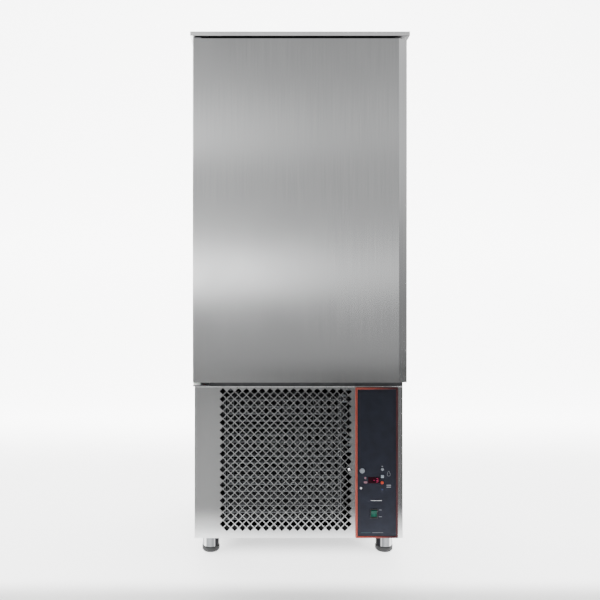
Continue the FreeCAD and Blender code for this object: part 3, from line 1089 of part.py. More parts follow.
def make_lines(coil_z, compressor_top, receiver_top):
    """Discharge, condensate, liquid and suction lines, each from port to port, and the drier."""
    front_y, back_y = coil_columns(CONDENSER_Y)
    coil_top = coil_z + (CONDENSER_ROWS - 1) * CONDENSER_PITCH
    side_x = CONDENSER_RIGHT + LINE_SIDE_GAP
    liquid_z = COMPARTMENT_TOP - LIQUID_RUN_DROP
    suction_z = liquid_z - SUCTION_RUN_DROP
    port_x = COMPRESSOR_X + DISCHARGE_PORT_OFFSET
    discharge_z = compressor_top + (suction_z - compressor_top) * DISCHARGE_LEVEL
    discharge = [V(port_x, COMPRESSOR_Y, compressor_top), V(port_x, COMPRESSOR_Y, discharge_z),
                 V(side_x, COMPRESSOR_Y, discharge_z), V(side_x, back_y, discharge_z),
                 V(side_x, back_y, coil_top), V(CONDENSER_RIGHT, back_y, coil_top)]
    inlet_x = RECEIVER_X - RECEIVER_PORT_OFFSET
    run_x = side_x + LINE_SPACING
    run_y = RECEIVER_Y - INLET_RUN_OFFSET
    inlet = [V(CONDENSER_RIGHT, front_y, coil_top), V(run_x, front_y, coil_top), V(run_x, run_y, coil_top),
             V(inlet_x, run_y, coil_top), V(inlet_x, RECEIVER_Y, coil_top),
             V(inlet_x, RECEIVER_Y, receiver_top)]
    outlet_x = RECEIVER_X + RECEIVER_PORT_OFFSET
    drier_top = V(outlet_x, RECEIVER_Y, liquid_z - DRIER_DROP)
    drier_bottom = drier_top - V(0, 0, DRIER_LENGTH)
    drier = rod(DRIER_RADIUS, drier_bottom, drier_top)
    drier = drier.makeFillet(DRIER_ROUNDING, [edge for edge in drier.Edges if len(edge.Vertexes) == 1])
    riser = [drier_top, V(outlet_x, RECEIVER_Y, liquid_z), V(LIQUID_RISER_X, RECEIVER_Y, liquid_z),
             V(LIQUID_RISER_X, COLUMN_BACK_Y, liquid_z),
             V(LIQUID_RISER_X, COLUMN_BACK_Y, EVAPORATOR_TOP_ROW),
             V(EVAPORATOR_HALF_WIDTH, COLUMN_BACK_Y, EVAPORATOR_TOP_ROW)]
    suction = [V(EVAPORATOR_HALF_WIDTH, COLUMN_FRONT_Y, EVAPORATOR_TOP_ROW),
               V(SUCTION_RISER_X, COLUMN_FRONT_Y, EVAPORATOR_TOP_ROW),
               V(SUCTION_RISER_X, COLUMN_FRONT_Y, suction_z), V(SUCTION_RISER_X, COMPRESSOR_Y, suction_z),
               V(COMPRESSOR_X, COMPRESSOR_Y, suction_z), V(COMPRESSOR_X, COMPRESSOR_Y, compressor_top)]
    save("refrigerant_lines", pipe(discharge, LINE_RADIUS, LINE_BEND), pipe(inlet, LINE_RADIUS, LINE_BEND),
         rod(LINE_RADIUS, V(outlet_x, RECEIVER_Y, receiver_top), drier_bottom),
         pipe(riser, LINE_RADIUS, LINE_BEND), pipe(suction, SUCTION_RADIUS, SUCTION_BEND))
    return drier


def main():
    os.makedirs("parts", exist_ok=True)
    make_top_cap()
    make_side_panel("side_panel_left", -1)
    make_side_panel("side_panel_right", 1)
    make_rear_panels()
    make_cable_gland()
    make_deck_plate()
    make_base_frame()
    make_frame_posts()
    make_chamber()
    make_drain_pipe()
    make_front_grille_panel()
    make_fascia()
    make_keys()
    make_indicator_lamps()
    make_rocker()
    make_control_box()
    make_feet()
    make_door()
    make_hinges()
    make_rack()
    motors, brackets = make_evaporator()
    condenser_motor, condenser_bracket, coil_z = make_condenser()
    save("fan_motors", *motors, condenser_motor)
    save("fan_brackets", *brackets, condenser_bracket)
    compressor_top = make_compressor()
    receiver, receiver_top = make_receiver()
    drier = make_lines(coil_z, compressor_top, receiver_top)
    save("receiver_and_drier", receiver, drier)


main()
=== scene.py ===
import math

import bmesh
import bpy
import numpy as np
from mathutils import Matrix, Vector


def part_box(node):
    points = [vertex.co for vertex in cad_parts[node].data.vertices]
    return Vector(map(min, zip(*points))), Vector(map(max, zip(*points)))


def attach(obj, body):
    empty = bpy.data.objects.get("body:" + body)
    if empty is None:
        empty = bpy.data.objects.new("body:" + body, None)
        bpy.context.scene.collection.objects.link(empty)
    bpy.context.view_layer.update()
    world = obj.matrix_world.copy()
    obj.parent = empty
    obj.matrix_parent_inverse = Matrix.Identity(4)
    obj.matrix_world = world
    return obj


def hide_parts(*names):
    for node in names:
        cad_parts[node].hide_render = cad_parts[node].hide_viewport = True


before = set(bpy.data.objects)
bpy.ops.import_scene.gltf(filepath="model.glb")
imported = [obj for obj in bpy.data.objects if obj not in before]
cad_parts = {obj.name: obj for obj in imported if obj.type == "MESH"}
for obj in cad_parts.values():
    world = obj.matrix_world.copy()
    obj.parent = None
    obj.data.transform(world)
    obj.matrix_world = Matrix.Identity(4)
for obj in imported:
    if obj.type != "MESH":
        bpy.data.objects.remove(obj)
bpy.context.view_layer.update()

# ---------------------------------------------------------------- camera
# The camera stands a little left of the cabinet's middle, level, at the height of the lower
# half of the door, and looks straight at the front. Its frame is shifted to the right.
door_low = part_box("door_outer_skin")[0]
CAMERA_FROM_DOOR = 2.285
CAMERA_LEFT = 0.162
CAMERA_HEIGHT = 0.954
LENS_MM = 38.16
SENSOR_MM = 36.0
FRAME_SHIFT = 0.075
FARTHEST_SEEN = 100.0

camera_data = bpy.data.cameras.new("camera")
camera_data.lens = LENS_MM
camera_data.sensor_width = SENSOR_MM
camera_data.shift_x = FRAME_SHIFT
camera_data.clip_end = FARTHEST_SEEN
camera = bpy.data.objects.new("camera", camera_data)
camera.location = (-CAMERA_LEFT, door_low[1] - CAMERA_FROM_DOOR, CAMERA_HEIGHT)
camera.rotation_euler = (math.radians(90), 0, 0)
bpy.context.scene.collection.objects.link(camera)
bpy.context.scene.camera = camera


# ---------------------------------------------------------------- floor and backdrop
# A roll of pale photographer's paper lies on the floor under the cabinet and rises behind it in
# one wide curve, so that no line shows where floor and wall meet.
def linear(hex_colour):
    """Turns an sRGB hex colour into the linear red, green, blue and alpha that a shader takes. A small part
    is divided by 12.92; any other gains 0.055, is divided by 1.055 and is raised to the power 2.4."""
    parts = [int(hex_colour[i:i + 2], 16) / 255 for i in (1, 3, 5)]
    return (*[c / 12.92 if c <= 0.04045 else ((c + 0.055) / 1.055) ** 2.4 for c in parts], 1.0)


def add_node(tree, kind, values=None, feeds=None, **settings):
    """Adds one node: settings are its own options, values fill its sockets, feeds link into them."""
    made = tree.nodes.new(kind)
    for option, value in settings.items():
        setattr(made, option, value)
    for socket, value in (values or {}).items():
        made.inputs[socket].default_value = value
    for socket, source in (feeds or {}).items():
        tree.links.new(source, made.inputs[socket])
    return made


def new_material(name, colour, **sockets):
    """Starts a material with one Principled shader. The constant values, hex colours among them, go on the
    shader's own sockets, whose names are the keywords with spaces and capitals. Returns the material, its
    tree and its shader."""
    material = bpy.data.materials.new(name)
    material.use_nodes = True
    tree = material.node_tree
    shader = tree.nodes["Principled BSDF"]
    shader.inputs["Base Color"].default_value = linear(colour)
    for keyword, value in sockets.items():
        socket = keyword.replace("_", " ").title().replace("Ior", "IOR")
        shader.inputs[socket].default_value = linear(value) if isinstance(value, str) else value
    return material, tree, shader


def grain(tree, scale, detail=2.0):
    """Noise in object coordinates. Scale is in cycles per metre: one number, or one each for x, y and z."""
    cycles = scale if isinstance(scale, tuple) else (scale,) * 3
    place = add_node(tree, "ShaderNodeTexCoord")
    stretch = add_node(tree, "ShaderNodeMapping", {"Scale": cycles}, {"Vector": place.outputs["Object"]})
    return add_node(tree, "ShaderNodeTexNoise", {"Scale": 1.0, "Detail": detail},
                    {"Vector": stretch.outputs["Vector"]}).outputs["Fac"]


def spread(tree, source, low, high, middle=(0.3, 0.7)):
    """Carries a noise value from its middle band to the range low to high."""
    return add_node(tree, "ShaderNodeMapRange",
                    {"From Min": middle[0], "From Max": middle[1], "To Min": low, "To Max": high},
                    {"Value": source}).outputs["Result"]


def tinted(tree, shader, source, dark, light):
    """Base colour between two hex colours, by a value from 0 to 1."""
    blend = add_node(tree, "ShaderNodeMix", data_type="RGBA")
    colour_inputs = [socket for socket in blend.inputs if socket.type == "RGBA"]
    colour_inputs[0].default_value = linear(dark)
    colour_inputs[1].default_value = linear(light)
    tree.links.new(source, blend.inputs["Factor"])
    colour = [socket for socket in blend.outputs if socket.type == "RGBA"][0]
    tree.links.new(colour, shader.inputs["Base Color"])


def skin(name, rings, loop=False, sharp_degrees=35):
    """Closed skin through rings of points, an array of rings by points by 3. Neighbouring rings are joined
    by quads; the first and last are filled flat or, on a loop, joined to each other. Edges that turn by
    more than sharp_degrees stay sharp."""
    count, around = rings.shape[:2]
    index = np.arange(count * around).reshape(count, around)
    below = index if loop else index[:-1]
    above = np.roll(index, -1, axis=0) if loop else index[1:]
    quads = np.stack([below, np.roll(below, -1, 1), np.roll(above, -1, 1), above], axis=-1)
    faces = quads.reshape(-1, 4).tolist()
    if not loop:
        faces += [index[0, ::-1].tolist(), index[-1].tolist()]
    mesh = bpy.data.meshes.new(name)
    mesh.from_pydata(rings.reshape(-1, 3).tolist(), [], faces)
    solid = bmesh.new()
    solid.from_mesh(mesh)
    bmesh.ops.remove_doubles(solid, verts=solid.verts, dist=1e-6)
    bmesh.ops.recalc_face_normals(solid, faces=solid.faces)
    solid.to_mesh(mesh)
    solid.free()
    mesh.shade_smooth()
    mesh.set_sharp_from_angle(angle=math.radians(sharp_degrees))
    piece = bpy.data.objects.new(name, mesh)
    bpy.context.scene.collection.objects.link(piece)
    return piece


def object_axes(tree):
    """The three object coordinates of a shading point, as separate outputs X, Y and Z."""
    spot = add_node(tree, "ShaderNodeTexCoord").outputs["Object"]
    return add_node(tree, "ShaderNodeSeparateXYZ", feeds={"Vector": spot}).outputs


def ramp_up(tree, source, start, end, low=0.0, high=1.0):
    """Smooth step of a value: 3t squared less 2t cubed, where t runs from 0 at start to 1 at end, carried
    to the range low to high. Start may be the larger of the two."""
    return add_node(tree, "ShaderNodeMapRange",
                    {"From Min": start, "From Max": end, "To Min": low, "To Max": high},
                    {"Value": source}, interpolation_type="SMOOTHSTEP").outputs["Result"]


def combine(tree, operation, first, second):
    """One arithmetic node of two values; the second may be a plain number."""
    if isinstance(second, (int, float)):
        return add_node(tree, "ShaderNodeMath", {1: second}, {0: first}, operation=operation).outputs["Value"]
    return add_node(tree, "ShaderNodeMath", feeds={0: first, 1: second}, operation=operation).outputs["Value"]


# Matt paper, rolled: it scatters light evenly and has no gloss. Past its front edge the floor is painted
# dark, as painted shade that the sheet metal mirrors, and lighter towards the left, as painted light from the
# window there. The paper glows where lamps shine on it: a little in front of the cabinet, more beside and
# behind it, less under it, and most on the wall.
PAPER_FRONT = -0.58
PAPER_FADE = 0.30
FLOOR_SIDE = 0.75
DIM_RIGHT, DIM_LEFT = 0.10, 0.39
GLOW_START, GLOW_FULL = -0.64, -0.50
FRONT_GLOW, SEEN_GLOW, WALL_GLOW = 0.5, 2.7, 3.0
SHADOW_HALF_X, SHADOW_HALF_Y = 0.36, 0.33
SHADOW_SOFT = 0.16
SHADOW_LEVEL = 0.45
WALL_START, WALL_FULL = 0.9, 2.4
paper, paper_tree, paper_shader = new_material("studio_floor", "#F4F4F3", roughness=0.85)
floor_axes = object_axes(paper_tree)
near_paper = ramp_up(paper_tree, floor_axes["Y"], PAPER_FRONT - PAPER_FADE, PAPER_FRONT)
# Painted shade: the floor past the paper is dark, darkest at the right and lighter at the left as painted
# light.
painted_shade_floor = ramp_up(paper_tree, floor_axes["X"], FLOOR_SIDE, -FLOOR_SIDE, DIM_RIGHT, DIM_LEFT)
painted_floor_level = add_node(paper_tree, "ShaderNodeMix", feeds={"Factor": near_paper, "A": painted_shade_floor})
painted_floor_level.inputs["B"].default_value = 1.0
cloudy = spread(paper_tree, grain(paper_tree, 1.5), 0.98, 1.0)
paper_shade = combine(paper_tree, "MULTIPLY", painted_floor_level.outputs["Result"], cloudy)
tinted(paper_tree, paper_shader, paper_shade, "#050506", "#F4F4F3")
from_middle_x = combine(paper_tree, "ABSOLUTE", floor_axes["X"], 0.0)
from_middle_y = combine(paper_tree, "ABSOLUTE", floor_axes["Y"], 0.0)
beside_x = combine(paper_tree, "SUBTRACT", from_middle_x, SHADOW_HALF_X)
beside_y = combine(paper_tree, "SUBTRACT", from_middle_y, SHADOW_HALF_Y)
outside = combine(paper_tree, "MAXIMUM", beside_x, beside_y)
shadow = ramp_up(paper_tree, outside, -SHADOW_SOFT, 0.0, SHADOW_LEVEL, 1.0)
seen_paper = ramp_up(paper_tree, floor_axes["Y"], GLOW_START, GLOW_FULL, FRONT_GLOW, SEEN_GLOW)
near_glow = combine(paper_tree, "MULTIPLY", combine(paper_tree, "MULTIPLY", near_paper, shadow), seen_paper)
wall_glow = ramp_up(paper_tree, floor_axes["Y"], WALL_START, WALL_FULL, 0.0, WALL_GLOW)
glow = combine(paper_tree, "ADD", near_glow, wall_glow)
paper_tree.links.new(glow, paper_shader.inputs["Emission Strength"])

SWEEP_RADIUS = 1.5
SWEEP_BACK = 2.6
SWEEP_REACH = 7.0
PAPER_THICK = 0.02
curve = np.linspace(0, np.pi / 2, 24)
sweep_y = np.concatenate([[-SWEEP_REACH], SWEEP_BACK + SWEEP_RADIUS * np.sin(curve),
                          [SWEEP_BACK + SWEEP_RADIUS]])
sweep_z = np.concatenate([[0.0], SWEEP_RADIUS - SWEEP_RADIUS * np.cos(curve), [SWEEP_REACH]])
outline = np.stack([np.concatenate([sweep_y, sweep_y[::-1] + PAPER_THICK]),
                    np.concatenate([sweep_z, sweep_z[::-1] - PAPER_THICK])], axis=-1)
sweep_rings = np.array([[(x, y, z) for y, z in outline] for x in (-SWEEP_REACH, SWEEP_REACH)])
backdrop = skin("backdrop", sweep_rings)
backdrop.data.materials.append(paper)


# ---------------------------------------------------------------- light
# A pale room with level bands of window light behind the camera, and a bright window at the
# left. Brushed sheet smears them sideways into the door's level bands. The right side is dimmer.
world = bpy.data.worlds.new("studio")
world.use_nodes = True
sky = world.node_tree
sky_direction = add_node(sky, "ShaderNodeTexCoord").outputs["Generated"]
sky_axes = add_node(sky, "ShaderNodeSeparateXYZ", feeds={"Vector": sky_direction}).outputs
BAND_HALF = 0.5
elevation = add_node(sky, "ShaderNodeMapRange", {"From Min": -BAND_HALF, "From Max": BAND_HALF},
                     {"Value": sky_axes["Z"]}).outputs["Result"]
FRONT_BANDS = [(-0.50, 0.40), (-0.13, 0.38), (-0.07, 0.46), (-0.03, 0.50), (0.0, 0.60), (0.02, 0.92),
               (0.045, 1.06), (0.07, 0.92), (0.095, 0.72), (0.125, 0.64), (0.16, 0.58), (0.20, 0.51),
               (0.24, 0.74), (0.275, 0.68), (0.32, 0.52), (0.36, 0.48), (0.41, 0.40), (0.50, 0.55)]
RIGHT_BANDS = [(-0.50, 0.32), (-0.03, 0.31), (0.0, 0.35), (0.045, 0.46), (0.095, 0.55), (0.125, 0.66),
               (0.16, 0.78), (0.20, 0.90), (0.24, 0.96), (0.32, 0.95), (0.41, 1.10), (0.50, 0.90)]
WINDOW_BANDS = [(-0.13, 0.0), (-0.07, 0.10), (-0.03, 0.06), (0.0, 0.30), (0.02, 2.6), (0.045, 3.6),
                (0.07, 2.2), (0.095, 0.45), (0.125, 0.40), (0.16, 0.28), (0.20, 0.35), (0.24, 0.85),
                (0.275, 0.68), (0.32, 0.22), (0.36, 0.08), (0.41, 0.0)]
RIGHT_STARTS, RIGHT_FULL = 0.30, 0.70
WINDOW_EDGE = 0.09


def fill_ramp(ramp, stops):
    """Fills a colour ramp with stops of (position, colour), in rising order."""
    for number, (position, colour) in enumerate(stops):
        element = ramp.color_ramp.elements[number] if number < 2 else ramp.color_ramp.elements.new(1.0)
        element.position = position
        element.color = colour


def band_level(bands):
    """Level of light over the sine of the elevation, in straight lines from one (sine, level) to the next.
    A ramp holds colours up to 1, so it carries level / highest and is multiplied by the highest again."""
    highest = max(level for sine, level in bands)
    ramp = add_node(sky, "ShaderNodeValToRGB", feeds={"Fac": elevation})
    fill_ramp(ramp, [(sine + BAND_HALF, (*[level / highest] * 3, 1.0)) for sine, level in bands])
    return combine(sky, "MULTIPLY", ramp.outputs["Color"], highest)


to_right = ramp_up(sky, sky_axes["X"], RIGHT_STARTS, RIGHT_FULL)
room = add_node(sky, "ShaderNodeMix", feeds={"Factor": to_right, "A": band_level(FRONT_BANDS),
                                             "B": band_level(RIGHT_BANDS)})
to_left = ramp_up(sky, sky_axes["X"], WINDOW_EDGE, -WINDOW_EDGE)
window_light = combine(sky, "MULTIPLY", band_level(WINDOW_BANDS), to_left)
room_light = combine(sky, "ADD", room.outputs["Result"], window_light)
sky.links.new(room_light, sky.nodes["Background"].inputs["Strength"])
sky.nodes["Background"].inputs["Color"].default_value = (1.0, 1.0, 1.0, 1.0)
bpy.context.scene.world = world


def soft_light(name, place, target, size, power):
    """Square area light at a place, its side in metres and its power in watts. It is tilted by the angle
    between straight down and the line to its target, and turned by that line's bearing."""
    lamp = bpy.data.lights.new(name, "AREA")
    lamp.size = size
    lamp.energy = power
    holder = bpy.data.objects.new(name, lamp)
    holder.location = place
    aim = np.array(target) - np.array(place)
    holder.rotation_euler = (math.atan2(math.hypot(aim[0], aim[1]), -aim[2]), 0,
                             math.atan2(aim[1], aim[0]) - math.pi / 2)
    bpy.context.scene.collection.objects.link(holder)


soft_light("left_softbox", (-3.2, -3.4, 3.4), (0, 0, 1.0), 2.2, 45)
soft_light("right_fill", (3.0, -2.0, 4.4), (0, 0, 0.9), 2.0, 25)
soft_light("backdrop_light", (0, 0.2, 4.6), (0, 3.4, 1.6), 3.0, 190)


# ---------------------------------------------------------------- outer stainless sheet
# Grade 304 stainless sheet, brushed vertically and folded. The brushing spreads every reflection
# sideways into level bands and leaves the sheet sharper up and down.
BRUSHING_DEPTH = 0.000002


def relief(tree, shader, source, height):
    """Bump of the given height in metres from a noise value."""
    bump = add_node(tree, "ShaderNodeBump", {"Strength": 1.0, "Distance": height}, {"Height": source})
    tree.links.new(bump.outputs["Normal"], shader.inputs["Normal"])


def brushed_steel(name, colour_dark, colour_light, roughness_low, roughness_high):
    """Brushed sheet: long thin noise along the height sets colour, roughness and relief, with wide smudges in
    the roughness. Real brushing is 0.1 to 0.3 mm wide; it is drawn 3 mm wide so that it shows."""
    material, tree, shader = new_material(name, colour_light, metallic=1.0, anisotropic=0.9)
    lines = grain(tree, (330.0, 330.0, 4.0), 3.0)
    smudges = grain(tree, (5.0, 5.0, 3.0))
    wear = add_node(tree, "ShaderNodeMath", {1: 0.35}, {0: lines, 2: smudges}, operation="MULTIPLY_ADD")
    roughness = spread(tree, wear.outputs["Value"], roughness_low, roughness_high, (0.45, 0.9))
    tree.links.new(roughness, shader.inputs["Roughness"])
    tinted(tree, shader, spread(tree, lines, 0, 1), colour_dark, colour_light)
    relief(tree, shader, lines, BRUSHING_DEPTH)
    return material


def finish_nodes(material, *names):
    """Gives CAD nodes one material in all their slots."""
    for name in names:
        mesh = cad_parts[name].data
        mesh.materials.clear()
        mesh.materials.append(material)


# The front sheets are freshly brushed. The side sheets are a darker, rougher copy of the same steel, as
# painted shade, and the cap a paler copy, as painted light.
outer_steel = brushed_steel("brushed_stainless_sheet", "#CACBCC", "#D0D1D1", 0.16, 0.20)
finish_nodes(outer_steel, "door_outer_skin", "front_grille_panel")
side_sheet_painted_shade = brushed_steel("painted_shade_side_sheet", "#A2A3A4", "#ACADAE", 0.28, 0.34)
finish_nodes(side_sheet_painted_shade, "side_panel_left", "side_panel_right")
cap_sheet_painted_light = brushed_steel("painted_light_cap_sheet", "#ECEDED", "#F4F4F4", 0.28, 0.34)
finish_nodes(cap_sheet_painted_light, "top_cap")


# ---------------------------------------------------------------- chamber and rack
# The chamber is lined with bright, cold rolled stainless, finer than the outside. Runner angles
# for the trays hang on four square uprights.
liner_steel = brushed_steel("bright_stainless_liner", "#CDCECE", "#D9D9D8", 0.18, 0.26)
finish_nodes(liner_steel, "liner_walls", "liner_floor", "rack_uprights", "tray_runners_left",
             "tray_runners_right", "evaporator_cover")


# ---------------------------------------------------------------- zinc coated sheet
# The rear, the deck and the compartment's inner parts are hot dip galvanised sheet, whose zinc
# sets in dull crystals of a few millimetres with slightly different greys.
ZINC_CRYSTALS_PER_METRE = 90.0


def galvanised_sheet(name, dark, light):
    """Zinc coated sheet: each cell of a Voronoi pattern, 11 mm wide, takes one shade between dark and light
    and one roughness between 0.36 and 0.50. Real crystals are 5 to 15 mm wide."""
    material, tree, shader = new_material(name, light, metallic=1.0)
    spot = add_node(tree, "ShaderNodeTexCoord").outputs["Object"]
    crystals = add_node(tree, "ShaderNodeTexVoronoi", {"Scale": ZINC_CRYSTALS_PER_METRE}, {"Vector": spot})
    parts = add_node(tree, "ShaderNodeSeparateColor", feeds={"Color": crystals.outputs["Color"]})
    shade = parts.outputs["Red"]
    tinted(tree, shader, shade, dark, light)
    tree.links.new(spread(tree, shade, 0.36, 0.5, (0, 1)), shader.inputs["Roughness"])
    return material


# Outside the zinc is clean and mid grey; inside the compartment it is painted darker, as painted shade.
zinc = galvanised_sheet("galvanised_sheet", "#66686A", "#7E8082")
finish_nodes(zinc, "rear_panel_upper", "rear_panel_lower")
shaded_inner_zinc = galvanised_sheet("painted_shade_zinc_sheet", "#4C4D4F", "#5D5E60")
finish_nodes(shaded_inner_zinc, "deck_plate", "base_frame", "frame_posts", "control_box", "fan_brackets",
             "condenser_shroud", "condenser_tubes")


# ---------------------------------------------------------------- hinges and polished steel
# Hinge pins, door blocks and wire guards are polished and left bare, so they mirror the room with
# only faint polishing marks. The hinge plates are plain pressed steel, dull from handling.
# Polishing marks are 5 mm high and 17 mm long, and move the roughness between 0.08 and 0.20.
polished, polished_tree, polished_shader = new_material("polished_steel", "#D6D6D6", metallic=1.0)
polishing_marks = spread(polished_tree, grain(polished_tree, (60.0, 60.0, 200.0)), 0.08, 0.2)
polished_tree.links.new(polishing_marks, polished_shader.inputs["Roughness"])
finish_nodes(polished, "hinge_pins", "door_hinge_blocks", "fan_guards")
dull_steel = brushed_steel("dull_hinge_steel", "#84868A", "#929496", 0.34, 0.42)
finish_nodes(dull_steel, "hinge_plates")


# ---------------------------------------------------------------- frame profile and hinge bush
# The profile round the door opening is extruded dark grey plastic, whose dark colour is also painted shade
# in the gaps above and below the door. The lower hinge turns in a white moulded nylon bush, and the drain
# pipe is the same white plastic.
def mottled(tree, shader, scale, dark, light, detail=2.0):
    """Base colour between two hex colours, by noise of the given cycles per metre."""
    tinted(tree, shader, spread(tree, grain(tree, scale, detail), 0, 1), dark, light)


def plain_plastic(name, dark, light, roughness, grain_mm=0.8, height=0.00002, **sockets):
    """Moulded plastic: fine noise of the grain's size sets relief and roughness, 0.05 either way, and broad
    noise of 40 mm drifts the colour between dark and light. Real spark eroded grain is 0.05 to 0.2 mm; it is
    drawn coarser so that it shows."""
    material, tree, shader = new_material(name, light, ior=1.5, **sockets)
    per_metre = 1000.0 / grain_mm
    fine = grain(tree, per_metre)
    mottled(tree, shader, 25.0, dark, light)
    tree.links.new(spread(tree, fine, roughness - 0.05, roughness + 0.05), shader.inputs["Roughness"])
    relief(tree, shader, fine, height)
    return material


# Its dark colour is partly painted shade for the gaps round the door.
profile_plastic_painted_shade = plain_plastic("dark_profile_painted_shade", "#2E2F31", "#393A3C", 0.5, 1.0)
finish_nodes(profile_plastic_painted_shade, "front_frame")
nylon = plain_plastic("white_nylon", "#F0F0EC", "#FAFAF7", 0.42, subsurface_weight=0.1)
finish_nodes(nylon, "hinge_bush", "drain_pipe")


# ---------------------------------------------------------------- foam
# Polyurethane foam is poured between the sheets and sets pale yellow. None of it shows.
foam = plain_plastic("rigid_foam", "#D9C68D", "#E6D7A6", 0.8, 1.5, 0.0002)
finish_nodes(foam, "cabinet_foam", "door_foam")


# ---------------------------------------------------------------- door inner panel
# The inside of the door is one stainless pressing: a flat rim under the gasket and a shallow
# raised field inside it, with rounded pressed edges.
def rounded_outline(half_x, half_z, corner, steps=6):
    """Rounded rectangle, seen from the front: four quarter circles, each about its corner's centre, joined by
    the straight sides."""
    turn = np.linspace(0, np.pi / 2, steps)
    angle = (np.arange(4)[:, None] * np.pi / 2 + turn).ravel()
    sign_x = np.repeat([1, -1, -1, 1], steps)
    sign_z = np.repeat([1, 1, -1, -1], steps)
    return np.stack([sign_x * (half_x - corner) + corner * np.cos(angle),
                     sign_z * (half_z - corner) + corner * np.sin(angle)], axis=-1)


def tile_rings(centre_x, centre_z, half_x, half_z, corner, profile):
    """Rings of a raised tile: each profile point (inset, y) gives the rounded outline at depth y, with its
    sides and its corner radius smaller by the inset."""
    rings = []
    for inset, y in profile:
        flat = rounded_outline(half_x - inset, half_z - inset, max(corner - inset, 1e-5))
        rings.append(np.stack([centre_x + flat[:, 0], np.full(len(flat), y), centre_z + flat[:, 1]], axis=-1))
    return np.array(rings)


def quarter_profile(radius, y_foot, y_crest, steps=5):
    """Profile of a side wall that rises from y_foot and turns into the face at y_crest with a round: at each
    angle the inset is radius x (1 - cos) and the depth is short of the crest by radius x (1 - sin)."""
    turn = np.linspace(0, np.pi / 2, steps)
    y = y_crest - math.copysign(radius, y_crest - y_foot) * (1 - np.sin(turn))
    return [(0.0, y_foot), *zip(radius * (1 - np.cos(turn)), y)]


def join_body(piece, body, material):
    """Gives a piece its body and its material."""
    piece.data.materials.append(material)
    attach(piece, body)
    return piece


panel_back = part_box("door_inner_panel")[1][1]
gasket_low, gasket_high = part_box("door_gasket")
gasket_z = (gasket_low[2] + gasket_high[2]) / 2
gasket_half_z = (gasket_high[2] - gasket_low[2]) / 2
FIELD_INSET = 0.034
FIELD_RISE = 0.008
FIELD_CORNER = 0.02
PRESS_RADIUS = 0.004
SUNK = 0.0004
finish_nodes(liner_steel, "door_inner_panel")
field_profile = quarter_profile(PRESS_RADIUS, panel_back - SUNK, panel_back + FIELD_RISE)
field_rings = tile_rings(0.0, gasket_z, gasket_high[0] - FIELD_INSET, gasket_half_z - FIELD_INSET,
                         FIELD_CORNER, field_profile)
join_body(skin("door_inner_field", field_rings), "door", liner_steel)


# ---------------------------------------------------------------- door gasket
# A grey extruded seal with a magnet in it runs round the door. Its bellows fold between
# the foot in the panel's groove and the flat face that meets the frame.
gasket_rubber = plain_plastic("grey_seal_rubber", "#4A4C4E", "#5B5D5F", 0.6, 1.2)
GASKET_PROFILE = [(0.0, 0.0), (0.0, 0.18), (0.16, 0.30), (0.05, 0.44), (0.0, 0.60), (0.0, 0.86), (0.08, 1.0),
                  (0.92, 1.0), (1.0, 0.86), (1.0, 0.60), (0.95, 0.44), (0.84, 0.30), (1.0, 0.18), (1.0, 0.0)]
GASKET_WIDTH = 0.022
GASKET_CORNER = 0.0245
gasket_depth = gasket_high[1] - gasket_low[1]
gasket_section = [(across * GASKET_WIDTH, gasket_low[1] + rise * gasket_depth)
                  for across, rise in GASKET_PROFILE]
gasket_rings = tile_rings(0.0, gasket_z, gasket_high[0], gasket_half_z, GASKET_CORNER, gasket_section)
gasket = skin("door_seal", gasket_rings, loop=True, sharp_degrees=50)
join_body(gasket, "door", gasket_rubber)
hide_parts("door_gasket")


# ---------------------------------------------------------------- control fascia
# A matt navy plate with a moulded red bead round it carries the keys. The bead is half round,
# so its left side catches the light and its right side is in shade.
# Matt moulded plastic has only a weak, wide gloss, so the plate stays dark in every light.
navy = plain_plastic("matt_navy_plastic", "#22242D", "#262934", 0.5, 1.0, specular_ior_level=0.15)
finish_nodes(navy, "control_fascia")
fascia_low, fascia_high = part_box("fascia_frame")
plate_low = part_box("control_fascia")[0]
fascia_front = plate_low[1]
plate_left, plate_bottom = fascia_low[0], fascia_low[2]
fascia_x = (fascia_low[0] + fascia_high[0]) / 2
fascia_z = (fascia_low[2] + fascia_high[2]) / 2
bead_width = plate_low[0] - fascia_low[0]
bead_back = fascia_high[1]
bead_rise = fascia_high[1] - fascia_low[1]
BEAD_CORNER = 0.003
BEAD_WALL, BEAD_ROUND = 0.4, 0.6
BEAD_SHADE_FROM, BEAD_SHADE_TO = 0.006, 0.004

# Satin plastic, red right through. Its left side is drawn paler, where the window's light falls, and
# its right side darker. Moulding grain of 0.1 mm is drawn 1.4 mm wide so that it shows.
red, red_tree, red_shader = new_material("red_satin_plastic", "#A03A34", roughness=0.45, ior=1.5,
                                         specular_ior_level=0.3)
red_grain = spread(red_tree, grain(red_tree, 700.0), -0.05, 0.05)
red_side = ramp_up(red_tree, object_axes(red_tree)["X"], fascia_high[0] - BEAD_SHADE_FROM,
                   fascia_low[0] + BEAD_SHADE_TO)
tinted(red_tree, red_shader, combine(red_tree, "ADD", red_side, red_grain), "#3E1219", "#A0463A")
half_turn = np.linspace(0, np.pi, 13)
bead_inset = bead_width / 2 * (1 - np.cos(half_turn))
bead_y = bead_back - bead_rise * (BEAD_WALL + BEAD_ROUND * np.sin(half_turn))
bead_profile = [(0.0, bead_back), *zip(bead_inset, bead_y), (bead_width, bead_back)]
bead_rings = tile_rings(fascia_x, fascia_z, (fascia_high[0] - fascia_low[0]) / 2,
                        (fascia_high[2] - fascia_low[2]) / 2, BEAD_CORNER, bead_profile)
bead = skin("fascia_bead", bead_rings, loop=True)
join_body(bead, "cabinet", red)
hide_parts("fascia_frame")


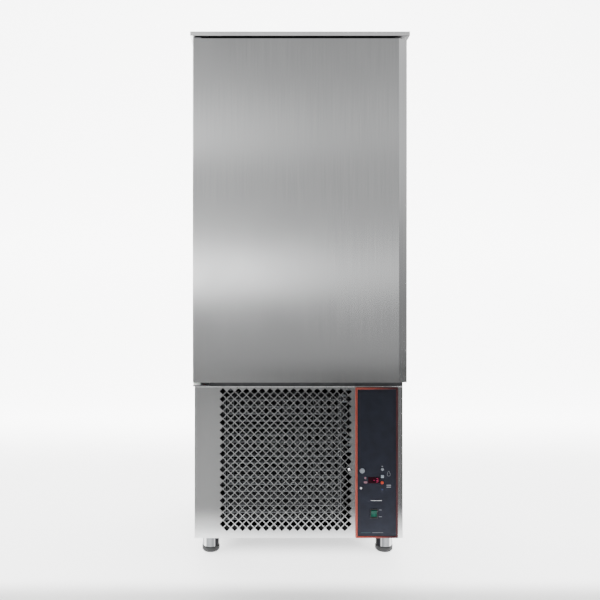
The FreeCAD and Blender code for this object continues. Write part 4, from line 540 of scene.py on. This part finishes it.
# ---------------------------------------------------------------- keys
# Two silver painted round caps and a red one are moulded with a dished face, and a blue grey
# square one is flat. All have a rounded rim over a wider collar and rise a little above the plate.
def turned(name, profile, centre, along="y", steps=48):
    """Turned solid: each profile point (radius, distance along the axis) makes one circle, of radius x cos
    and radius x sin about the axis."""
    angle = np.linspace(0, 2 * np.pi, steps, endpoint=False)
    radius = np.array([point[0] for point in profile])[:, None]
    far = np.repeat(np.array([point[1] for point in profile])[:, None], steps, axis=1)
    first, second = radius * np.cos(angle), radius * np.sin(angle)
    order = (first, far, second) if along == "y" else (first, second, far)
    return skin(name, np.stack(order, axis=-1) + np.array(centre))


# Painted and through-dyed ABS caps: a soft gloss, with the moulding's fine grain.
silver = plain_plastic("silver_painted_key", "#7C828B", "#8F959E", 0.4, 1.2, specular_ior_level=0.3)
red_key = plain_plastic("red_key", "#C23A22", "#D4492E", 0.34, 1.2)
blue_grey = plain_plastic("blue_grey_key", "#8E99A6", "#A7B2BE", 0.34, 1.2)
KEY_RIM = 0.0012
KEY_DISH = 0.0004
DISH_INSET = 0.00192
KEY_COLLAR = 0.0015
COLLAR_EDGE = 0.0014
COLLAR_DEPTH = 0.0017
MODE_CORNER = 0.0022
POLE = 0.0001
key_turn = np.linspace(0, np.pi / 2, 6)


def key_rim(start, front):
    """Rounded rim of a cap: at each angle it draws in by KEY_RIM x (1 - cos) and lies KEY_RIM x (1 - sin)
    behind the front. Gives points (start - inset, depth)."""
    return [(start - KEY_RIM * (1 - math.cos(a)), front + KEY_RIM * (1 - math.sin(a))) for a in key_turn]


for key, material, slot in (("key_start", silver, "silver_key"), ("key_select", silver, "silver_key"),
                            ("key_stop", red_key, "red_key")):
    low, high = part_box(key)
    cap_radius = (high[0] - low[0]) / 2 - KEY_COLLAR
    collar = cap_radius + COLLAR_EDGE
    collar_front = high[1] - COLLAR_DEPTH
    inner = cap_radius - DISH_INSET
    profile = [(POLE, high[1]), (collar, high[1]), (collar, collar_front), (cap_radius, collar_front)]
    profile += key_rim(cap_radius, low[1])
    profile += [(inner * d + POLE / 2, low[1] + KEY_DISH * (1 - d * d)) for d in np.linspace(1, 0, 6)[:-1]]
    cap = turned(key + "_cap", profile, ((low[0] + high[0]) / 2, 0, (low[2] + high[2]) / 2))
    join_body(cap, key, material)
    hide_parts(key)

mode_low, mode_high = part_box("key_mode")
mode_half = (mode_high[0] - mode_low[0]) / 2 - KEY_COLLAR
mode_front = mode_high[1] - COLLAR_DEPTH
mode_profile = [(-COLLAR_EDGE, mode_high[1]), (-COLLAR_EDGE, mode_front), (0.0, mode_front)]
mode_profile += [(-inset, y) for inset, y in key_rim(0.0, mode_low[1])]
mode_rings = tile_rings((mode_low[0] + mode_high[0]) / 2, (mode_low[2] + mode_high[2]) / 2, mode_half,
                        mode_half, MODE_CORNER, mode_profile)
mode_cap = skin("key_mode_cap", mode_rings)
join_body(mode_cap, "key_mode", blue_grey)
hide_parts("key_mode")


# ---------------------------------------------------------------- display
# A smoked red window over a two digit light display. Each digit has places for seven bars, and
# the lit ones show a chamber temperature.
# Tinted acrylic, lightly scuffed: dark maroon, with a dull wide gloss.
lens, lens_tree, lens_shader = new_material("smoked_red_window", "#260512", ior=1.49,
                                            specular_ior_level=0.12)
lens_scuffs = grain(lens_tree, 40.0)
lens_tree.links.new(spread(lens_tree, lens_scuffs, 0.24, 0.36), lens_shader.inputs["Roughness"])
WINDOW_CORNER = 0.0025
WINDOW_ROUND = 0.0006
display_low, display_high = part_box("display_window")
display_x = (display_low[0] + display_high[0]) / 2
display_z = (display_low[2] + display_high[2]) / 2
window_rings = tile_rings(display_x, display_z, (display_high[0] - display_low[0]) / 2,
                          (display_high[2] - display_low[2]) / 2, WINDOW_CORNER,
                          quarter_profile(WINDOW_ROUND, display_high[1], display_low[1]))
display_lens = skin("display_lens", window_rings)
join_body(display_lens, "cabinet", lens)
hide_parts("display_window")

# Light emitting bars, moulded of clear resin and seen through the tinted window: a dim even glow. The
# resin's cloudiness is drawn 3 mm wide.
lit, lit_tree, lit_shader = new_material("lit_red_digits", "#B02A5A", roughness=0.4,
                                         emission_color="#D83A6E", emission_strength=0.30)
mottled(lit_tree, lit_shader, 300.0, "#A82552", "#B83060")

# Bar places are given in half widths and half heights of the digit, with True for a level bar. Only the
# bars that the two figures light are listed.
DIGIT_HALF_X = 0.0036
DIGIT_HALF_Z = 0.0062
DIGIT_PITCH = 0.0105
DIGIT_START = 0.000375
BAR_HALF = 0.0007
BAR_GAP = 0.00042
BAR_CORNER = 0.00063
PRINT_RISE = 0.00012
SEGMENTS = {"3": "abcdg", "-": "g"}
SEGMENT_PLACES = {"a": (0, 1, True), "b": (1, 0.5, False), "c": (1, -0.5, False), "d": (0, -1, True),
                  "g": (0, 0, True)}


def flat_mark(name, x, z, half_x, half_z, corner, material, front):
    """Thin printed or moulded mark: a rounded rectangle that stands PRINT_RISE proud of the face at the
    given depth."""
    rings = tile_rings(x, z, half_x, half_z, corner, [(0.0, front), (0.0, front - PRINT_RISE)])
    return join_body(skin(name, rings), "cabinet", material)


for number, figure in enumerate("-3"):
    digit_x = display_x + DIGIT_START + number * DIGIT_PITCH
    for segment in SEGMENTS[figure]:
        across, up, level = SEGMENT_PLACES[segment]
        length = (DIGIT_HALF_X if level else DIGIT_HALF_Z / 2) - BAR_GAP
        bar_x, bar_z = (length, BAR_HALF) if level else (BAR_HALF, length)
        flat_mark(f"digit_{number}_{segment}", digit_x + across * DIGIT_HALF_X, display_z + up * DIGIT_HALF_Z,
                  bar_x, bar_z, BAR_CORNER, lit, display_low[1])


# ---------------------------------------------------------------- lamps
# Small moulded lenses stand on the plate: a pink dot, a pink lozenge, a white square and a blue
# dot. Their places are given right of and above the fascia's lower left corner.
def lamp_plastic(name, dark, light, glow):
    """Clear dyed acrylic, moulded: glossy, with noise 2.5 mm wide between dark and light, and a faint glow
    of its own colour."""
    material, tree, shader = new_material(name, light, roughness=0.25, ior=1.49, coat_weight=0.4,
                                          emission_color=light, emission_strength=glow)
    mottled(tree, shader, 400.0, dark, light)
    return material


lamp_low, lamp_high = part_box("indicator_lamps")
LAMP_WALL = 0.4
lamp_rise = lamp_high[1] - lamp_low[1]
pink_lamp = lamp_plastic("pink_lens", "#7E5A66", "#977480", 0.03)
white_lamp = lamp_plastic("white_lens", "#D5D5DD", "#E9E9EF", 0.15)
blue_lamp = lamp_plastic("blue_lens", "#1B2E52", "#22396A", 0.02)


def lens_dome(name, right, up, radius, material):
    """Turned lens: a straight wall of LAMP_WALL of its rise, then a quarter ellipse of radius x cos by the
    rest of the rise x sin."""
    dome = [(radius * math.cos(a) + POLE / 2,
             lamp_high[1] - lamp_rise * (LAMP_WALL + (1 - LAMP_WALL) * math.sin(a))) for a in key_turn]
    profile = [(POLE / 2, lamp_high[1]), (radius, lamp_high[1]), *dome]
    place = (plate_left + right, 0, plate_bottom + up)
    return join_body(turned(name, profile, place, steps=24), "cabinet", material)


def lens_tile(name, right, up, half_x, half_z, corner, edge, material):
    """Moulded lens with straight sides, rounded corners and an edge of the given round."""
    rings = tile_rings(plate_left + right, plate_bottom + up, half_x, half_z, corner,
                       quarter_profile(edge, lamp_high[1], lamp_low[1]))
    return join_body(skin(name, rings), "cabinet", material)


dome_upper = lens_dome("lamp_dot", 0.0365, 0.2235, 0.004, pink_lamp)
lens_dome("lamp_lower_dot", 0.0992, 0.1815, 0.003, blue_lamp)
lens_tile("lamp_lozenge", 0.0375, 0.2075, 0.0066, 0.0040, 0.0038, 0.0006, pink_lamp)
lens_tile("lamp_square", 0.0205, 0.186, 0.0035, 0.0035, 0.0008, 0.0005, white_lamp)
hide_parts("indicator_lamps")


# ---------------------------------------------------------------- rocker switch
# A translucent green rocker tips in a glossy black bezel. A small lamp behind it makes the deep
# green glow faintly, and cloudy moulding varies its shade.
black = plain_plastic("black_moulded_plastic", "#121314", "#1B1C1D", 0.36, 0.9)
finish_nodes(black, "rocker_bezel", "transformer_and_terminals", "cable_gland")
green, green_tree, green_shader = new_material("green_lit_plastic", "#0C4A3C", roughness=0.4, ior=1.49,
                                               specular_ior_level=0.2, emission_color="#2FA585",
                                               emission_strength=0.06)
mottled(green_tree, green_shader, 160.0, "#083B30", "#0F5244")
finish_nodes(green, "rocker")


# ---------------------------------------------------------------- printed marks
# The fascia's marks are screen printed: a drop outline, short grey bars, one white line and one
# dim one, two dashes beside the rocker, a dash over the small key, and a thin teal line.
def print_ink(name, colour, other):
    """Screen printing ink: satin, with noise between two close shades where the mesh shows. A real mesh is
    about 0.1 mm; it is drawn 1.1 mm wide so that it shows."""
    material, tree, shader = new_material(name, colour, roughness=0.5, ior=1.5)
    mottled(tree, shader, 900.0, other, colour)
    return material


def print_outline(name, points, width, ink):
    """Closed printed line through points (right, up) from the fascia's corner. Each point is moved half the
    width to either side, square to the line from its last neighbour to its next."""
    path = np.array(points)
    along = np.roll(path, -1, 0) - np.roll(path, 1, 0)
    along /= np.linalg.norm(along, axis=1)[:, None]
    out = np.stack([along[:, 1], -along[:, 0]], -1) * width / 2
    rings = [np.stack([plate_left + line[:, 0], np.full(len(line), y), plate_bottom + line[:, 1]], -1)
             for line, y in ((path + out, fascia_front), (path + out, fascia_front - PRINT_RISE),
                             (path - out, fascia_front - PRINT_RISE), (path - out, fascia_front))]
    join_body(skin(name, np.array(rings), loop=True), "cabinet", ink)


white_ink = print_ink("white_print", "#C9CBD0", "#B7B9BF")
grey_ink = print_ink("grey_print", "#8A8D94", "#7B7E86")
dim_ink = print_ink("dim_print", "#5F6269", "#54575E")
teal_ink = print_ink("teal_print", "#1D3A42", "#1A333A")
BAR_ROUNDING = 0.6
# Each printed bar: its name, the place of its middle right of and above the fascia's corner, half
# its width, half its height, and its ink.
PRINTED_BARS = [("print_bar_upper", 0.1235, 0.1965, 0.0085, 0.0017, grey_ink),
                ("print_bar_lower", 0.1235, 0.1895, 0.0085, 0.0017, grey_ink),
                ("print_line_upper", 0.0775, 0.1395, 0.0205, 0.0011, white_ink),
                ("print_line_lower", 0.0825, 0.0205, 0.0205, 0.0011, dim_ink),
                ("print_teal", 0.0385, 0.0205, 0.0185, 0.0009, teal_ink),
                ("print_on", 0.0925, 0.1045, 0.0052, 0.0010, grey_ink),
                ("print_off", 0.0925, 0.0795, 0.0052, 0.0010, grey_ink),
                ("print_mode", 0.0995, 0.2665, 0.0030, 0.0014, grey_ink)]
for name, right, up, half_x, half_z, ink in PRINTED_BARS:
    flat_mark(name, plate_left + right, plate_bottom + up, half_x, half_z,
              min(half_x, half_z) * BAR_ROUNDING, ink, fascia_front)

# The drop is a circle whose upper half is drawn up to a point by the cube of the sine.
DROP_RIGHT, DROP_UP, DROP_RADIUS, DROP_POINT, DROP_LINE = 0.1235, 0.2355, 0.0056, 0.0085, 0.0011
circle = np.linspace(0, 2 * np.pi, 24, endpoint=False)
drop_up = DROP_UP + DROP_RADIUS * np.sin(circle) + DROP_POINT * np.clip(np.sin(circle), 0, 1) ** 3
drop = np.stack([DROP_RIGHT + DROP_RADIUS * np.cos(circle), drop_up], -1)
print_outline("print_drop", drop, DROP_LINE, grey_ink)


# ---------------------------------------------------------------- feet
# Steel sleeves are fixed to the base and hold black moulded feet on screwed stems. The foot's lower
# edge is chamfered and slightly rounded.
foot_rubber = plain_plastic("black_foot_rubber", "#151617", "#202122", 0.55, 1.0)
FOOT_GAP = 0.0003
STEM_RADIUS, STEM_FILLET = 0.0079, 0.0005
# Points of the foot's rim: (how far inside its radius, height), from the floor and under the top.
FOOT_TREAD = [(0.0070, 0.0), (0.0055, 0.0006), (0.0008, 0.0054), (0.0, 0.0072)]
FOOT_SHOULDER = [(0.0, 0.0015), (0.0005, 0.0004), (0.0015, 0.0)]
sleeve_low, sleeve_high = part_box("foot_sleeves")
end_top = sleeve_low[2] - FOOT_GAP
for foot in ("foot_front_left", "foot_front_right", "foot_rear_left", "foot_rear_right"):
    low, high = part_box(foot)
    foot_radius = (high[0] - low[0]) / 2
    profile = [(POLE, 0.0), *[(foot_radius - inset, z) for inset, z in FOOT_TREAD],
               *[(foot_radius - inset, end_top - below) for inset, below in FOOT_SHOULDER],
               (STEM_RADIUS + STEM_FILLET, end_top), (STEM_RADIUS, end_top), (STEM_RADIUS, high[2]),
               (POLE, high[2])]
    foot_place = ((low[0] + high[0]) / 2, (low[1] + high[1]) / 2, 0.0)
    end = turned(foot + "_end", profile, foot_place, along="z", steps=64)
    join_body(end, foot, foot_rubber)
    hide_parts(foot)

# Drawn and polished tube. Its long dark and light streaks are painted reflections: painted shade on the side
# towards the middle of the cabinet, one painted highlight near the outer side. Drawing marks 5 mm wide set
# the roughness.
SLEEVE_RADIUS = 0.031
SLEEVE_PAINTED_REFLECTIONS = [(0.0, "#141416"), (0.20, "#222225"), (0.26, "#9A9B9C"), (0.32, "#5C5E60"),
                  (0.50, "#7C7E80"), (0.72, "#6A6C6E"), (0.84, "#E4E4E4"), (0.92, "#8A8B8D"),
                  (1.0, "#3A3A3C")]
sleeve_steel, sleeve_tree, sleeve_shader = new_material("polished_sleeve_steel", "#D6D6D6", metallic=1.0)
from_middle = combine(sleeve_tree, "ABSOLUTE", object_axes(sleeve_tree)["X"], 0.0)
flank = add_node(sleeve_tree, "ShaderNodeMapRange",
                 {"From Min": sleeve_high[0] - 2 * SLEEVE_RADIUS, "From Max": sleeve_high[0]},
                 {"Value": from_middle}).outputs["Result"]
painted_reflections = add_node(sleeve_tree, "ShaderNodeValToRGB", feeds={"Fac": flank})
fill_ramp(painted_reflections, [(across, linear(tint)) for across, tint in SLEEVE_PAINTED_REFLECTIONS])
sleeve_tree.links.new(painted_reflections.outputs["Color"], sleeve_shader.inputs["Base Color"])
sleeve_marks = spread(sleeve_tree, grain(sleeve_tree, (200.0, 200.0, 8.0)), 0.12, 0.22)
sleeve_tree.links.new(sleeve_marks, sleeve_shader.inputs["Roughness"])
finish_nodes(sleeve_steel, "foot_sleeves")


# ---------------------------------------------------------------- refrigeration metals
# Drawn copper tube dulls to brown in use. The evaporator's fins and the fan blades are thin bright
# aluminium, the compressor shell and the receiver are enamelled black, and black rubber sleeves
# cover the refrigerant lines.
copper, copper_tree, copper_shader = new_material("drawn_copper", "#B5714E", metallic=1.0)
copper_grain = grain(copper_tree, 18.0, 3.0)
tinted(copper_tree, copper_shader, spread(copper_tree, copper_grain, 0, 1), "#8F5539", "#C07C57")
copper_tree.links.new(spread(copper_tree, copper_grain, 0.42, 0.26), copper_shader.inputs["Roughness"])
finish_nodes(copper, "evaporator_tubes")

aluminium, aluminium_tree, aluminium_shader = new_material("bright_aluminium", "#C9CBCD", metallic=1.0)
aluminium_grain = grain(aluminium_tree, 40.0)
tinted(aluminium_tree, aluminium_shader, spread(aluminium_tree, aluminium_grain, 0, 1), "#BBBDBF", "#D2D4D5")
aluminium_marks = spread(aluminium_tree, aluminium_grain, 0.24, 0.38)
aluminium_tree.links.new(aluminium_marks, aluminium_shader.inputs["Roughness"])
finish_nodes(aluminium, "evaporator_fins", "evaporator_fan_lower", "evaporator_fan_upper", "condenser_fan")

# Black enamel, sprayed on: glossy where it is clean, duller where dust lies, with a faint orange peel
# of 3 mm.
PAINT_PEEL = 0.00004
black_paint, paint_tree, paint_shader = new_material("black_enamel", "#17181A", ior=1.5, coat_weight=0.3)
paint_peel = grain(paint_tree, 350.0)
paint_dust = grain(paint_tree, 12.0, 3.0)
tinted(paint_tree, paint_shader, spread(paint_tree, paint_dust, 0, 1), "#131416", "#232426")
paint_tree.links.new(spread(paint_tree, paint_dust, 0.28, 0.45), paint_shader.inputs["Roughness"])
relief(paint_tree, paint_shader, paint_peel, PAINT_PEEL)
finish_nodes(black_paint, "compressor", "receiver_and_drier")

# The condenser's fins are drawn mid grey rather than black, as painted light on the shaded inside seen
# through the holes.
fin_grey_painted_light, fin_grey_tree, fin_grey_shader = new_material("grey_fins_painted_light", "#86888B", roughness=0.7, ior=1.5)
mottled(fin_grey_tree, fin_grey_shader, 14.0, "#787A7D", "#94969A", 3.0)
finish_nodes(fin_grey_painted_light, "condenser_fins")
finish_nodes(foot_rubber, "compressor_mounts", "refrigerant_lines")


# ---------------------------------------------------------------- control parts
# Inside the box sits a green lacquered board with its switches. The fans' motors are cast housings,
# bead blasted and left bare.
board, board_tree, board_shader = new_material("green_lacquered_board", "#1E5A3A", roughness=0.35, ior=1.5,
                                               coat_weight=0.3)
mottled(board_tree, board_shader, 120.0, "#17492F", "#256B46")
finish_nodes(board, "control_board")
motor_metal, motor_tree, motor_shader = new_material("cast_motor_metal", "#6E7174", metallic=0.9,
                                                     roughness=0.45)
mottled(motor_tree, motor_shader, 50.0, "#626568", "#7C7F82")
finish_nodes(motor_metal, "fan_motors")


# ---------------------------------------------------------------- wires in front of the condenser
# Level grey wires, one at each row of tubes, keep lint off the coil. They are what shows as light
# level lines behind the diamond holes.
def bar_between(name, section, left, right):
    """Straight bar: the same section, an array of points (y, z), at the left end and at the right end."""
    ends = [np.stack([np.full(len(section), x), section[:, 0], section[:, 1]], axis=-1)
            for x in (left, right)]
    return skin(name, np.array(ends))


tubes_low, tubes_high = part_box("condenser_tubes")
fins_low, fins_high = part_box("condenser_fins")
WIRE_RADIUS = 0.0019
WIRE_ROWS = 18
wire_grey = print_ink("grey_coated_wire", "#88898C", "#77797D")
wire_turn = np.linspace(0, 2 * np.pi, 10, endpoint=False)
wire_y = fins_low[1] - WIRE_RADIUS + WIRE_RADIUS * np.cos(wire_turn)
wire_heights = np.linspace(tubes_low[2] + WIRE_RADIUS, tubes_high[2] - WIRE_RADIUS, WIRE_ROWS)
for row, wire_z in enumerate(wire_heights):
    section = np.stack([wire_y, wire_z + WIRE_RADIUS * np.sin(wire_turn)], axis=-1)
    wire = bar_between(f"condenser_wire_{row:02d}", section, fins_low[0], fins_high[0])
    join_body(wire, "cabinet", wire_grey)


# ---------------------------------------------------------------- folds and seals of the front
# The lower panel's top edge is folded over a small round, which catches the light as a thin
# bright line. A dark grey plastic strip under the cap closes the gap above the door, as painted shade.
grille_low, grille_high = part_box("front_grille_panel")
FOLD_RADIUS = 0.0016
FOLD_PROUD = 0.0007
FOLD_SUNK = 0.0006
FOLD_END = 0.0005
bend = np.linspace(-np.pi / 2, np.pi / 2, 9)
fold_y = grille_low[1] + FOLD_SUNK - (FOLD_PROUD + FOLD_SUNK) * np.cos(bend)
fold_z = grille_high[2] - FOLD_RADIUS + FOLD_RADIUS * np.sin(bend)
fold = bar_between("lower_panel_fold", np.stack([fold_y, fold_z], axis=-1), grille_low[0] + FOLD_END,
                   grille_high[0] - FOLD_END)
join_body(fold, "cabinet", outer_steel)

cap_low, cap_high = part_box("top_cap")
UNDERLAY_THICK = 0.0010
UNDERLAY_GAP = 0.0003
UNDERLAY_INSET = 0.0008
UNDERLAY_BEHIND = 0.0015
UNDERLAY_LEFT = -0.330
front, back = cap_low[1] + UNDERLAY_INSET, grille_low[1] - UNDERLAY_BEHIND
top = cap_low[2] - UNDERLAY_GAP
underlay_section = np.array([(front, top - UNDERLAY_THICK), (back, top - UNDERLAY_THICK), (back, top),
                             (front, top)])
# The strip's dark plastic is painted shade above the door.
underlay = bar_between("cap_strip_painted_shade", underlay_section, UNDERLAY_LEFT, cap_high[0] - UNDERLAY_INSET)
join_body(underlay, "cabinet", profile_plastic_painted_shade)


# ---------------------------------------------------------------- rear louvres and screws
# Each slot of the rear panel is pressed out into a hood that opens downwards, so nothing shows or
# drips through it. Pan head screws hold the panel at its edges.
rear_low, rear_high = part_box("rear_panel_lower")
cabinet_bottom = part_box("side_panel_left")[0][2]
SLOT_LENGTH, SLOT_HEIGHT = 0.180, 0.008
SLOT_FIRST, SLOT_PITCH, SLOT_ROWS, COLUMN_PITCH = 0.150, 0.030, 12, 0.215
HOOD_REACH, HOOD_SHEET = 0.009, 0.0009
HOOD_ABOVE, HOOD_BELOW, HOOD_BESIDE, HOOD_END = 0.003, 0.003, 0.010, 0.012
HOOD_LEAST, HOOD_LEAST_TURN = 0.3, 0.12
SET_IN = 0.0002


def hood_sections():
    """The rings of one hood, as x, y and z arrays about its slot's lower middle. Its section is a quarter
    ellipse of reach x sin by height x cos, with a second one inside it by the sheet's thickness. Over the
    last HOOD_END of its length the reach falls to nearly nothing, as the sine of an angle whose cosine is
    the way along. The inner ellipse keeps HOOD_LEAST of the reach where the sheet would fill it."""
    height = HOOD_ABOVE + SLOT_HEIGHT + HOOD_BELOW
    end_turn = np.linspace(HOOD_LEAST_TURN, np.pi / 2, 8)
    end_x = SLOT_LENGTH / 2 + HOOD_BESIDE - HOOD_END + HOOD_END * np.cos(end_turn)
    along = np.concatenate([-end_x, end_x[::-1]])
    reach = HOOD_REACH * np.concatenate([np.sin(end_turn), np.sin(end_turn)[::-1]])[:, None]
    droop = np.linspace(0, np.pi / 2, 7)[None]
    inner_reach = np.maximum(reach - HOOD_SHEET, HOOD_LEAST * reach)
    y = np.concatenate([reach * np.sin(droop), (inner_reach * np.sin(droop))[:, ::-1]], axis=1)
    drop_z = np.concatenate([height * np.cos(droop), (height - HOOD_SHEET) * np.cos(droop)[:, ::-1]], axis=1)
    x = np.repeat(along[:, None], y.shape[1], axis=1)
    return x, y, np.repeat(drop_z, len(along), axis=0) - HOOD_BELOW


hood_x, hood_y, hood_z = hood_sections()
for column in (-1, 0, 1):
    for row in range(SLOT_ROWS):
        slot_z = cabinet_bottom + SLOT_FIRST + row * SLOT_PITCH
        rings = np.stack([hood_x + column * COLUMN_PITCH, hood_y + rear_high[1] - SET_IN, hood_z + slot_z],
                         axis=-1)
        join_body(skin(f"louvre_{column + 1}_{row:02d}", rings), "cabinet", zinc)

SCREW_RADIUS, SCREW_RISE, SCREW_INSET = 0.0042, 0.0024, 0.012
SCREW_FLAT, RECESS_RADIUS, RECESS_DEPTH, RECESS_MIDDLE = 0.0016, 0.0013, 0.0012, 0.0014
SCREW_LEVELS = np.array([0.03, 0.36, 0.67, 0.97])  # over the panel's height
screw_head = [(SCREW_FLAT + (SCREW_RADIUS - SCREW_FLAT) * math.cos(a), SCREW_RISE * math.sin(a))
              for a in key_turn]
screw_profile = [(POLE, -SET_IN), (SCREW_RADIUS, -SET_IN), *screw_head,
                 (RECESS_RADIUS, SCREW_RISE - RECESS_DEPTH), (POLE, SCREW_RISE - RECESS_MIDDLE)]
screw_sides = (rear_low[0] + SCREW_INSET, rear_high[0] - SCREW_INSET)
screw_heights = rear_low[2] + SCREW_LEVELS * (rear_high[2] - rear_low[2])
screw_places = [(x, z) for x in screw_sides for z in screw_heights]
for number, (screw_x, screw_z) in enumerate(screw_places):
    screw = turned(f"rear_screw_{number}", screw_profile, (screw_x, rear_high[1], screw_z), steps=24)
    join_body(screw, "cabinet", zinc)
